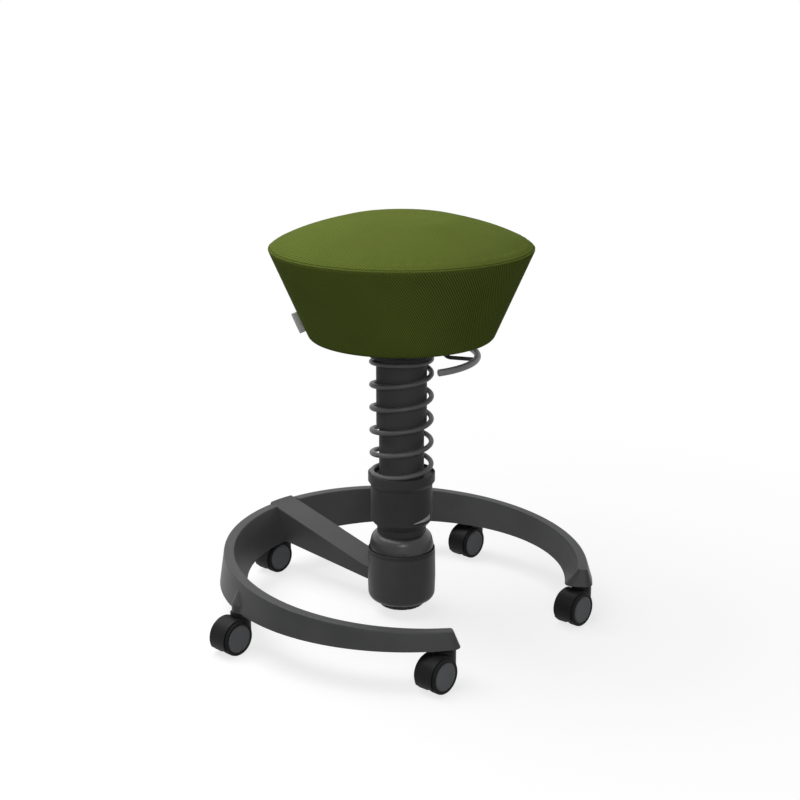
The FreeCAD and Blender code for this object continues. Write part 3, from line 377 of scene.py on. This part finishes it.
frame_coat = hard_finish("frame_coat", grey(0.082, 0.02), 1100, 0.00003, (0.40, 0.50), 0.20)
black_coat = hard_finish("black_coat", grey(0.105), 1300, 0.00002, (0.48, 0.58), 0.06)
spring_coat = hard_finish("spring_coat", grey(0.15), 1300, 0.00001, (0.32, 0.40), 0.30)
moulded = hard_finish("moulded_black", grey(0.068), 1500, 0.00003, (0.42, 0.52), 0.12)
dome_satin = hard_finish("dome_satin", grey(0.045), 1600, 0.00002, (0.28, 0.34), 0.50)
lever_grey = hard_finish("lever_grey", grey(0.32), 1500, 0.00002, (0.36, 0.44), 0.40)
castor_black = hard_finish("castor_black", grey(0.012), 1500, 0.00003, (0.38, 0.50), 0.12)
tread_black = hard_finish("tread_black", grey(0.014), 700, 0.00005, (0.55, 0.70), 0.12)
cap_grey = hard_finish("cap_grey", grey(0.16, 0.07), 1700, 0.00003, (0.42, 0.52), 0.25)
zinc = hard_finish("zinc", grey(0.55), 1200, 0.00002, (0.28, 0.40), metallic=1.0)
rubber = hard_finish("joint_rubber", grey(0.012), 500, 0.00006, (0.70, 0.85), 0.3)
board = hard_finish("seat_board", (0.42, 0.30, 0.16), 250, 0.00006, (0.55, 0.70))
print("hard finishes:", len(bpy.data.materials) - 1)

# %% [markdown]
# ## Finishes of the CAD pieces
#
# Pieces whose solid is already right keep it, and only get the finish that they have on the real
# stool. A list of names per finish is easier to check than a material set on each object by hand.

# %% Give every visible solid its finish
finishes = {
    frame_coat: ["foot_ring", "support_arm"],
    black_coat: ["lower_tube", "upper_tube", "lever_rod", "swivel_cup", "gas_cylinder", "seat_cone",
                 "guide_core"],
    moulded: ["scale_sleeve", "tension_collar", "spring_plate", "joint_ring", "adjuster_knob",
              "seat_shell", "guide_bush", "swivel_bush", "joint_retainer", "pivot_stud",
              "pressure_plate"],
    dome_satin: ["dome_cover"],
    lever_grey: ["lever_grip"],
    castor_black: [name for name in nodes if name.endswith("_hood")],
    zinc: ["arm_bolts", "gas_rod", "release_pin", "pan_screws", "lever_pin"]
          + [name for name in nodes if name.endswith(("_stem", "_axle"))],
    rubber: ["joint_rubber"],
    board: ["seat_pan"],
}
for finish, names in finishes.items():
    for name in names:
        nodes[name].data.materials.clear()
        nodes[name].data.materials.append(finish)
print("solids with a finish:", sum(len(names) for names in finishes.values()))

# %% [markdown]
# ## Green twill
#
# In a two-and-two twill each yarn passes over two and under two, and every row starts one yarn further
# on, so the floats line up in slanting ribs. An image texture would be the quick way; a node group
# stays sharp at any distance and can be turned to the grain of each panel. It works in metres on the
# UV map: one mask for the ribs picks whether warp or weft lies on top, and each yarn is a rounded
# ridge across its width. Its tone is partly painted shade: darker in the gaps between yarns, and darker
# where the weft lies on top, which is partly the yarns' own colour and partly painted shade of the
# ribs.

# %% The twill group
twill, given, result = new_group(
    "twill_weave",
    [("Rib Pitch", 0.0032), ("Rib Angle", 0.6), ("Wander", 0.0008)],
    [("Height", "NodeSocketFloat"), ("Tone", "NodeSocketFloat")],
)
coords = add(twill, "ShaderNodeUVMap", uv_map="metres").outputs[0]
parts = add(twill, "ShaderNodeSeparateXYZ")
twill.links.new(coords, parts.inputs[0])
u, v = parts.outputs["X"], parts.outputs["Y"]


def twill_noise(scale, detail):
    """Noise over the cloth, from zero to one."""
    made = add(twill, "ShaderNodeTexNoise", Scale=scale, Detail=detail)
    twill.links.new(coords, made.inputs["Vector"])
    return made.outputs["Fac"]


def along_direction(angle):
    """Distance along a direction of the cloth: u cos angle + v sin angle."""
    first = calc(twill, "MULTIPLY", u, calc(twill, "COSINE", angle))
    second = calc(twill, "MULTIPLY", v, calc(twill, "SINE", angle))
    return calc(twill, "ADD", first, second)


def wave(distance, length):
    """Smooth wave from zero to one and back over a length."""
    turn = calc(twill, "MULTIPLY", calc(twill, "DIVIDE", distance, length), 2 * math.pi)
    return calc(twill, "MULTIPLY_ADD", calc(twill, "SINE", turn), 0.5, 0.5)


rib_angle, rib_pitch = given.outputs["Rib Angle"], given.outputs["Rib Pitch"]
yarn_pitch = calc(twill, "DIVIDE", rib_pitch, 2 * math.sqrt(2))
warp_angle = calc(twill, "SUBTRACT", rib_angle, math.pi / 4)
weft_angle = calc(twill, "ADD", rib_angle, math.pi / 4)
slow_drift = calc(twill, "MULTIPLY", calc(twill, "SUBTRACT", twill_noise(55, 2), 0.5), 0.0011)
quick_noise = calc(twill, "SUBTRACT", twill_noise(240, 2), 0.5)
quick_drift = calc(twill, "MULTIPLY", quick_noise, given.outputs["Wander"])
drift = calc(twill, "ADD", slow_drift, quick_drift)
rib = wave(calc(twill, "ADD", along_direction(rib_angle), drift), rib_pitch)
over = add(twill, "ShaderNodeMapRange", interpolation_type="SMOOTHSTEP",
           From_Min=0.25, From_Max=0.75)
twill.links.new(rib, over.inputs["Value"])
print("group:", twill.name, "has its ribs")

# %% Yarns, fuzz, painted shade and the two outputs
warp = calc(twill, "MULTIPLY", wave(along_direction(warp_angle), yarn_pitch), over.outputs["Result"])
under = calc(twill, "SUBTRACT", 1.0, over.outputs["Result"])
weft = calc(twill, "MULTIPLY", wave(along_direction(weft_angle), yarn_pitch), under)
yarns = calc(twill, "ADD", warp, calc(twill, "MULTIPLY", weft, 0.6))
fuzz = twill_noise(1400, 2)
height = calc(twill, "ADD", calc(twill, "MULTIPLY", yarns, 0.7),
              calc(twill, "MULTIPLY", fuzz, 0.3))
patches = calc(twill, "MULTIPLY", calc(twill, "SUBTRACT", twill_noise(10, 3), 0.5), 0.35)
# Rows with the weft on top get a darker tone than warp floats. This is partly the yarns' own colour and
# partly painted shade of the ribs.
ribs = calc(twill, "MULTIPLY_ADD", over.outputs["Result"], 0.5, 0.05)
# Painted shade: the yarns' height is added to the tone, so their crowns are lighter and the gaps
# between yarns darker.
ribs_and_painted_shade = calc(twill, "ADD", ribs, calc(twill, "MULTIPLY", height, 0.45))
tone = calc(twill, "ADD", ribs_and_painted_shade, patches)
twill.links.new(height, result.inputs["Height"])
twill.links.new(tone, result.inputs["Tone"])
print("group:", twill.name, "has its yarns")


# %% Cloth and thread
def cloth_finish(name, colour, pitch, angle, wander, contrast, relief):
    """Matt cloth: the twill's tone, partly painted shade between the yarns, runs the colour from darker
    to lighter, its height is a bump.

    relief is the height of the yarns as a share of the rib pitch.
    """
    made = bpy.data.materials.new(name)
    tree = node_tree_of(made)
    skin = add(tree, "ShaderNodeBsdfPrincipled", Roughness=0.9, Specular_IOR_Level=0.05)
    weave = add(tree, "ShaderNodeGroup", node_tree=twill)
    weave.inputs["Rib Pitch"].default_value = pitch
    weave.inputs["Rib Angle"].default_value = angle
    weave.inputs["Wander"].default_value = wander
    ramp = add(tree, "ShaderNodeValToRGB")
    shares = (1 - contrast, 1 + contrast)
    for stop, place, share in zip(ramp.color_ramp.elements, (0.0, 0.9), shares):
        stop.position = place
        stop.color = (*(share * value for value in colour), 1)
    bump = add(tree, "ShaderNodeBump", Strength=0.5, Distance=relief * pitch)
    out = add(tree, "ShaderNodeOutputMaterial")
    tree.links.new(weave.outputs["Tone"], ramp.inputs[0])
    tree.links.new(ramp.outputs[0], skin.inputs["Base Color"])
    tree.links.new(weave.outputs["Height"], bump.inputs["Height"])
    tree.links.new(bump.outputs[0], skin.inputs["Normal"])
    tree.links.new(skin.outputs[0], out.inputs[0])
    return made


moss = (0.122, 0.163, 0.028)
side_angle, ribs_round, side_radius = 0.50, 306, 0.1701
side_pitch = 2 * math.pi * side_radius * math.cos(side_angle) / ribs_round
top_cloth = cloth_finish("green_twill_top", moss, 0.0034, -0.22, 0.0016, 0.32, 0.10)
side_cloth = cloth_finish("green_twill_side", moss, side_pitch, side_angle, 0.0006, 0.62, 0.12)
thread = cloth_finish("green_thread", (0.062, 0.086, 0.016), 0.0009, 0.5, 0.0, 0.2, 0.10)
label_cloth = cloth_finish("label_cloth", (0.90, 0.90, 0.89), 0.0008, 0.0, 0.0, 0.06, 0.02)
print("cloth finishes: top, side, thread, label")

# %% [markdown]
# ## Outline of the seat
#
# The cover is a cone of cloth, turned in below, sewn to a domed top at the rim. The rim is a soft
# roll, held by a line of topstitching a few millimetres in. The dome is fuller at its edge than part of
# a ball: with s as the share of the rim's radius, its height is 1 - s to the power 1.5, all of it to
# the power 0.69. One outline of (radius, height) points holds it all, so it can be measured first.

# %% Sizes of the seat
rim_above_solid, top_below_solid = 0.0042, 0.002
seat_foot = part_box("seat_side_cover")[0].z
seat_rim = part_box("seat_side_cover")[1].z + rim_above_solid
seat_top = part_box("seat_top_cover")[1].z - top_below_solid
rim_radius, foot_radius = 0.2, 0.1402
foot_bend, rim_bend = 0.011, 0.0022
cloth_thick, hem_depth = 0.0015, 0.024
crown_bulge, crown_round = 1.5, 0.69
stitch_inset = 0.0042
slope = (rim_radius - foot_radius) / (seat_rim - seat_foot)
lean = math.atan(slope)


def side_line(height, inset=0.0):
    """Radius of the cone at a height, or of a layer that much further in."""
    return foot_radius + (height - seat_foot) * slope - inset / math.cos(lean)


def arc(centre, radius, start, end, count):
    """Points of a circle between two angles."""
    angle = np.linspace(start, end, count)
    return np.stack([centre[0] + radius * np.cos(angle), centre[1] + radius * np.sin(angle)], -1)


def crown_share(share):
    """Height of the dome at a share of its radius: (1 - share^bulge)^round."""
    return (1 - share ** crown_bulge) ** crown_round


print("seat from", round(seat_foot, 4), "to", round(seat_top, 4), "m, side leaning",
      round(math.degrees(lean), 1), "degrees")

# %% Outline from the hem to the middle of the top
foot_centre = (side_line(seat_foot + foot_bend, foot_bend), seat_foot + foot_bend)
rim_r = rim_radius - rim_bend
rim_z = seat_foot + (rim_r + rim_bend / math.cos(lean) - foot_radius) / slope
first_share = 0.9991
steep = crown_bulge * crown_round * (1 - first_share ** crown_bulge) ** (crown_round - 1)
rim_turn = math.atan(rim_radius / steep / (seat_top - seat_rim))
edge_r = rim_r + rim_bend * math.cos(rim_turn)
edge_z = rim_z + rim_bend * math.sin(rim_turn)
hem = np.linspace((foot_centre[0] - hem_depth, seat_foot), (foot_centre[0], seat_foot), 8)[:-1]
foot_roll = arc(foot_centre, foot_bend, -math.pi / 2, -lean, 12)
rim_roll = arc((rim_r, rim_z), rim_bend, -lean, rim_turn, 22)
side = np.linspace(foot_roll[-1], rim_roll[0], 44)[1:-1]
near_rim_rows = np.linspace(math.sqrt(1 - first_share), 0.25, 46)
inward = np.concatenate([near_rim_rows, np.linspace(0.25, 1, 46)[1:]])[1:]
share = 1 - inward ** 2
first_rise = crown_share(first_share)
crown_r = edge_r * share / first_share
crown_z = edge_z + (seat_top - edge_z) * (crown_share(share) - first_rise) / (1 - first_rise)
outside = np.concatenate([hem, foot_roll, side, rim_roll, np.stack([crown_r, crown_z], -1)])
first_rim = len(hem) + len(foot_roll) + len(side)
run = np.concatenate([[0], np.cumsum(np.linalg.norm(np.diff(outside, axis=0), axis=1))])
rim_angle = np.linspace(-lean, rim_turn, len(rim_roll))
seam_row = first_rim + int(np.argmax(rim_angle > -0.12))
from_seam = run - run[seam_row]
print("outline of", len(outside), "points; from seam to middle",
      round(float(from_seam[-1]), 4), "m along the cloth")

# %% [markdown]
# ## Filling the cushion
#
# Inside the topstitching the cloth is pushed out by foam. Sculpting that swell by hand tends to look
# like a ball, so Blender's cloth solver does it: the edge is pinned as the stitches pin it, pressure
# acts from below, gravity is off. The cloth starts a few millimetres low and no point may move far;
# at the end the whole rise is scaled to fit the outline best. The faces at the very middle are slivers
# that the solver can't be trusted with, so there the heights go over into a shallow cap that is fitted
# to the rows around it. The middle of the top comes out a few millimetres lower than the outline.


# %% Swell the top
def swell(points, pinned_rows, pressure, frames, limit):
    """Grid of points pressed out by a cloth simulation whose first rows are sewn down."""
    trial_mesh = bpy.data.meshes.new("trial_top")
    rows, columns = points.shape[:2]
    faces = grid_faces(rows, columns, True)
    trial_mesh.from_pydata(points.reshape(-1, 3).tolist(), [], faces.tolist())
    trial = skin_object("trial_top", trial_mesh, [])
    sewn = trial.vertex_groups.new(name="sewn")
    sewn.add(list(range(pinned_rows * columns)), 1.0, "REPLACE")
    cloth = trial.modifiers.new("cloth", "CLOTH").settings
    cloth.quality = 6
    cloth.mass = 0.3
    cloth.tension_stiffness = 18
    cloth.compression_stiffness = 18
    cloth.bending_stiffness = 0.6
    cloth.vertex_group_mass = "sewn"
    cloth.use_pressure = True
    cloth.uniform_pressure_force = pressure
    cloth.effector_weights.gravity = 0
    for number in range(1, frames + 1):
        bpy.context.scene.frame_set(number)
    solved = trial.evaluated_get(bpy.context.evaluated_depsgraph_get()).to_mesh()
    places = np.zeros(rows * columns * 3)
    solved.vertices.foreach_get("co", places)
    shift = places.reshape(points.shape) - points
    length = np.linalg.norm(shift, axis=-1, keepdims=True)
    bpy.context.scene.frame_set(1)
    bpy.data.objects.remove(trial)
    bpy.data.meshes.remove(trial_mesh)
    return shift * np.minimum(1, limit / np.maximum(length, 1e-9))


columns = 216
cover = turned_grid(outside, columns)
top_row = int(np.argmax(from_seam > stitch_inset + 0.0012))
sag, pinned_rows, pole_radius = 0.006, 3, 0.0004
air_pressure, solver_frames, farthest = 4.0, 20, 0.0075
cap_reach, cap_blend, fit_from, fit_to = 0.065, 0.03, 0.05, 0.09
start = cover[top_row:].copy()
reach = outside[top_row:, 0]
lowered = (sag * (1 - (reach / reach[0]) ** 2))[:, None]
start[..., 2] -= lowered
start[-1, :, :2] = pole_radius * cover[top_row, :, :2] / reach[0]
rise = swell(start, pinned_rows, air_pressure, solver_frames, farthest)
upward = rise[..., 2]
cover[top_row:-1] = (start + rise * (upward * lowered).sum() / (upward ** 2).sum())[:-1]
row_level = cover[top_row:, :, 2].mean(1)
around = (reach > fit_from) & (reach < fit_to)
cap_level = np.polyval(np.polyfit(reach[around] ** 2, row_level[around], 1), reach ** 2)
inner = np.clip((cap_reach - reach) / cap_blend, 0, 1)[:, None]
cover[top_row:, :, 2] += inner * (cap_level[:, None] - cover[top_row:, :, 2])
print("top of the cushion at", round(float(cover[..., 2].max()), 4), "m")

# %% [markdown]
# ## Seat cover
#
# Two panels meet in a seam at the widest line of the rim, and the topstitching draws a groove into the
# top. Both could be a bump, but they show in the outline, so they are modelled: points near the line
# move in by a bell-shaped amount. An inner layer follows the shell and the board, so the cushion is a
# closed body. Top and side are separate panels of cloth, each with its own grain direction.

# %% Seam, groove and gentle unevenness
angle = np.linspace(0, 2 * np.pi, columns, endpoint=False)


def bell(distance, width):
    """Bell curve, one at zero: exp(-(distance / width)^2)."""
    return np.exp(-(distance / width) ** 2)


seam_depth, groove_depth, roll_height, uneven = 0.0005, 0.0008, 0.0004, 0.00012
sink = seam_depth * bell(from_seam, 0.0005) + groove_depth * bell(from_seam - stitch_inset, 0.0006)
sink -= roll_height * bell(from_seam - stitch_inset / 2, 0.0011)
tangent = np.gradient(outside, axis=0)
tangent /= np.linalg.norm(tangent, axis=1)[:, None]
out_r, out_z = tangent[:, 1:], -tangent[:, :1]
outward = np.stack([out_r * np.cos(angle), out_r * np.sin(angle),
                    np.broadcast_to(out_z, (len(outside), columns))], -1)
ripple = uneven * (np.sin(37 * angle + 1.1) + np.sin(53 * angle + 2.3) + np.sin(71 * angle))
near_rim = bell(from_seam - stitch_inset / 2, 0.005)
cover += (near_rim[:, None] * ripple - sink[:, None])[..., None] * outward
print("deepest sewn groove:", round(1000 * float(sink.max()), 2), "mm")

# %% Close the cushion over the shell and the board
skin_gap, glue_gap, shell_wall = 0.0003, 0.0006, 0.003
board_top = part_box("seat_pan")[1].z + skin_gap
shell_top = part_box("seat_shell")[1].z + skin_gap
shell_inset = cloth_thick + glue_gap + shell_wall
board_edge = side_line(board_top, shell_inset)
inside = np.concatenate([
    np.linspace((0, board_top), (board_edge, board_top), 10),
    [(side_line(shell_top, shell_inset), shell_top), (side_line(shell_top, cloth_thick), shell_top)],
    arc(foot_centre, foot_bend - cloth_thick, -lean, -math.pi / 2, 10),
    [(foot_centre[0] - hem_depth, seat_foot + cloth_thick)],
])
uv = np.concatenate([unrolled(profile, columns, side_radius) for profile in (inside, outside)])
to_middle = (run[-1] - run[seam_row:])[:, None]
round_angle = np.append(angle, 0)[None, :]
uv[len(inside) + seam_row:] = np.stack([to_middle * np.cos(round_angle),
                                        to_middle * np.sin(round_angle)], -1)
points = np.concatenate([turned_grid(inside, columns), cover])
panel = (np.arange(len(points) - 1) >= len(inside) + seam_row).astype(int)
seat = grid_object("seat_cushion", points, [side_cloth, top_cloth], uv, panel)
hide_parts("seat_foam", "seat_top_cover", "seat_side_cover")
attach(seat, "seat")
print("seat cushion:", len(seat.data.polygons), "faces")

# %% [markdown]
# ## Topstitching
#
# A machine stitch is a short, slightly raised thread between two holes, a shade darker than the cloth.
# An array modifier on a circle would repeat one stitch, but it bends the copies. Here one small thread
# with round ends is turned into place as an array of numbers, with only a few faces each.

# %% One row of stitches round the top
stitch_count, stitch_length, thread_radius = 300, 0.0031, 0.00042
stitch_steps = np.array([-0.5, -0.36, 0.36, 0.5])
groove_row = int(np.argmin(np.abs(from_seam - stitch_inset)))
groove_out = np.array([out_r[groove_row, 0], 0, out_z[groove_row, 0]])
lifted = 0.6 * thread_radius - 0.0005 * (2 * stitch_steps) ** 4
stitch_path = lifted[:, None] * groove_out + (stitch_length * stitch_steps)[:, None] * (0, 1, 0)
stitch_path = np.concatenate([stitch_path[:1], stitch_path, stitch_path[-1:]])
stitch_along = np.broadcast_to([0.0, 1.0, 0.0], stitch_path.shape)
stitch_thick = thread_radius * np.array([0, 0.5, 1, 1, 0.5, 0])
one = bar_grid(stitch_path, stitch_along, stitch_thick, 6)
groove_reach = np.linalg.norm(cover[groove_row, :, :2], axis=1).mean()
groove_level = cover[groove_row, :, 2].mean()
turn = 2 * np.pi * np.arange(stitch_count)[:, None, None] / stitch_count
x, y, z = one[..., 0] + groove_reach, one[..., 1], one[..., 2] + groove_level
stitches = np.stack(np.broadcast_arrays(x * np.cos(turn) - y * np.sin(turn),
                                        x * np.sin(turn) + y * np.cos(turn), z), -1)
one_faces = grid_faces(*one.shape[:2], True)
copies = np.arange(stitch_count)[:, None, None] * one.shape[0] * one.shape[1]
mesh = bpy.data.meshes.new("rim_topstitch")
mesh.from_pydata(stitches.reshape(-1, 3).tolist(), [], (one_faces + copies).reshape(-1, 4).tolist())
mesh.uv_layers.new(name="metres")
close_skin(mesh)
topstitch = skin_object("rim_topstitch", mesh, [thread])
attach(topstitch, "seat")
print("topstitching:", stitch_count, "stitches of", len(mesh.polygons) // stitch_count, "faces")

# %% [markdown]
# ## Blank cloth label
#
# A small folded label is sewn to the side of the cover and stands out from it like a flag. A plane
# would have no thickness when seen edge on, so it is a closed strip with rounded edges and a slight
# curl. It is blank.

# %% Fold the label
tag_angle = math.radians(132.5)
tag_foot = seat_foot + 0.0092
tag_length, tag_width, tag_thick, tag_gap = 0.033, 0.011, 0.0009, 0.0002
along = np.concatenate([[0], np.linspace(0, tag_length, 25), [tag_length]])
turn = np.linspace(0, 2 * np.pi, 40, endpoint=False)
square = 0.25
out_part = tag_width / 2 * (1 + np.sign(np.cos(turn)) * np.abs(np.cos(turn)) ** square)
thick_part = tag_thick / 2 * np.sign(np.sin(turn)) * np.abs(np.sin(turn)) ** square
curl = 0.0014 * np.sin(np.pi * along / tag_length)[:, None] * (out_part / tag_width)[None, :] ** 2
reach = (side_line(tag_foot) + tag_gap + along[:, None] * math.sin(lean)
         + out_part[None, :] * math.cos(lean))
level = tag_foot + along[:, None] * math.cos(lean) - out_part[None, :] * math.sin(lean)
across = thick_part[None, :] + curl
tag_points = np.stack([reach * math.cos(tag_angle) - across * math.sin(tag_angle),
                       reach * math.sin(tag_angle) + across * math.cos(tag_angle), level], -1)
tag_points[[0, -1]] = tag_points[[0, -1]].mean(1, keepdims=True)
tag_uv = np.stack(np.broadcast_arrays(np.append(out_part, out_part[0])[None, :], along[:, None]), -1)
tag = grid_object("blank_label", tag_points, [label_cloth], tag_uv)
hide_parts("seat_tag")
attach(tag, "seat")
print("label:", len(tag.data.polygons), "faces")

# %% [markdown]
# ## Coil spring
#
# The spring is one bar of coated wire, wound with flat ends: it lies on the collar for a third of a
# turn, bends up to its pitch, climbs, and flattens again under the spring plate. The Screw modifier
# can't change pitch along the way, so the height is the running sum of a slope that rises to one and
# falls back. The spring is attached to the column's body.

# %% Wind the wire
wire_radius, coil_radius, coil_pitch = 0.004, 0.046, 0.0364
foot_turns, bend_turns, full_turns, head_turns = 0.35, 0.25, 4.729, 0.5
wire_chamfer, wire_start = 0.0005, 14
all_turns = foot_turns + 2 * bend_turns + full_turns + head_turns
end_turn = wire_chamfer / (2 * np.pi * coil_radius)
body = np.linspace(end_turn, all_turns - end_turn, 780)
turns = np.concatenate([[0, 0], body, [all_turns, all_turns]])
grade = np.clip(np.minimum(turns - foot_turns, all_turns - head_turns - turns) / bend_turns, 0, 1)
climb = np.concatenate([[0], np.cumsum((grade[1:] + grade[:-1]) / 2 * np.diff(turns))]) * coil_pitch
spring_foot, spring_head = (corner.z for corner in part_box("coil_spring"))
angle = math.radians(wire_start) + 2 * np.pi * turns
middle = np.stack([coil_radius * np.cos(angle), coil_radius * np.sin(angle),
                   spring_foot + wire_radius + climb], -1)
way = np.stack([-np.sin(angle), np.cos(angle), grade * coil_pitch / (2 * np.pi * coil_radius)], -1)
thick = np.full(len(turns), wire_radius)
thick[[1, -2]] -= wire_chamfer
thick[[0, -1]] = 0
spring = grid_object("wound_spring", bar_grid(middle, way, thick, 20), [spring_coat])
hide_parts("coil_spring")
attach(spring, "column")
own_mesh(spring)
print("spring from", round(spring_foot, 4), "to", round(float(middle[-1, 2]) + wire_radius, 4), "m")

# %% [markdown]
# ## Castor wheels
#
# Each wheel is a black tread with round shoulders and two fine grooves, and a grey cap with a bevel
# and a shallow dish. The lathe makes the real one, so ours is turned from one profile as well, with
# the blind hole for the axle in it. Tread and cap are two finishes on one mesh. All ten are the same
# grid, moved to their axles.

# %% Turn the wheels
wheel_profile = 0.001 * np.array([
    (0.0, 15.8), (4.05, 15.8), (4.05, 4.4), (18.0, 4.4), (24.8, 4.6), (25.8, 5.2), (26.4, 6.2),
    (26.5, 7.5), (26.5, 9.4), (26.2, 9.7), (26.2, 10.1), (26.5, 10.4), (26.5, 13.6), (26.2, 13.9),
    (26.2, 14.3), (26.5, 14.6), (26.5, 16.6), (26.2, 17.9), (25.4, 18.9), (24.3, 19.5), (23.2, 19.6),
    (21.7, 19.6), (21.4, 19.4), (21.1, 18.8), (20.6, 18.6), (20.2, 18.8), (19.8, 19.3), (18.6, 19.9),
    (18.0, 20.0), (17.2, 19.98), (12.0, 19.8), (6.0, 19.72), (0.0, 19.7),
])
first_cap, finer = 23, 3
fine_rows = np.linspace(0, len(wheel_profile) - 1, finer * (len(wheel_profile) - 1) + 1)
given_rows = np.arange(len(wheel_profile))
profile = np.stack([np.interp(fine_rows, given_rows, wheel_profile[:, axis]) for axis in (0, 1)], -1)
wheel_grid = turned_grid(profile, 96)
wheel_panel = (np.arange(len(profile) - 1) >= finer * first_cap).astype(int)
for number in range(1, 6):
    low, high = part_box(f"castor_{number}_axle")
    hub = (low + high) / 2
    for side_name, sign in (("left", -1), ("right", 1)):
        placed = np.array(hub) + wheel_grid[..., [0, 2, 1]] * (1, sign, 1)
        wheel = grid_object(f"castor_{number}_tyre_{side_name}", placed, [tread_black, cap_grey],
                            panel=wheel_panel)
        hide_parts(f"castor_{number}_wheel_{side_name}")
        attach(wheel, f"castor_{number}_{side_name}")
print("castor wheels:", 2 * number, "of", len(wheel.data.polygons), "faces")

# %% [markdown]
# ## Tension mark
#
# A plain pale wedge is printed on the sleeve and shows which way the spring gets firmer. Printed ink
# has hardly any thickness. A decal in the sleeve's material would need its own mapping, so the wedge
# is a film a tenth of a millimetre thick that lies on the sleeve.

# %% Print the wedge
mark_paint = hard_finish("mark_paint", grey(0.80), 1500, 0.00001, (0.5, 0.6), 0.3)
sleeve_low, sleeve_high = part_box("scale_sleeve")
sleeve_radius = (sleeve_high.x - sleeve_low.x) / 2
mark_below_top, mark_height, tip_height, film = 0.052, 0.0082, 0.0003, 0.00012
mark_start, mark_span = 245, 43.5
mark_foot = sleeve_high.z - mark_below_top
share = np.linspace(0, 1, 64)
angle = np.radians(mark_start + mark_span * share)
lift_of = np.array([0, 1, 1, 0])[None, :] * (tip_height + mark_height * share)[:, None]
radius_of = sleeve_radius + np.array([film, film, -film / 4, -film / 4])[None, :] + 0 * lift_of
mark_points = np.stack([radius_of * np.cos(angle)[:, None], radius_of * np.sin(angle)[:, None],
                        mark_foot + lift_of], -1)
ends = mark_points[[0, -1]].mean(1, keepdims=True).repeat(4, 1)
mark_points = np.concatenate([ends[:1], mark_points, ends[1:]])
mark = grid_object("tension_mark", mark_points, [mark_paint])
mark.data.shade_flat()
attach(mark, "column")
print("wedge:", round(1000 * mark_height, 1), "mm high on a sleeve of radius",
      round(1000 * sleeve_radius, 1), "mm")
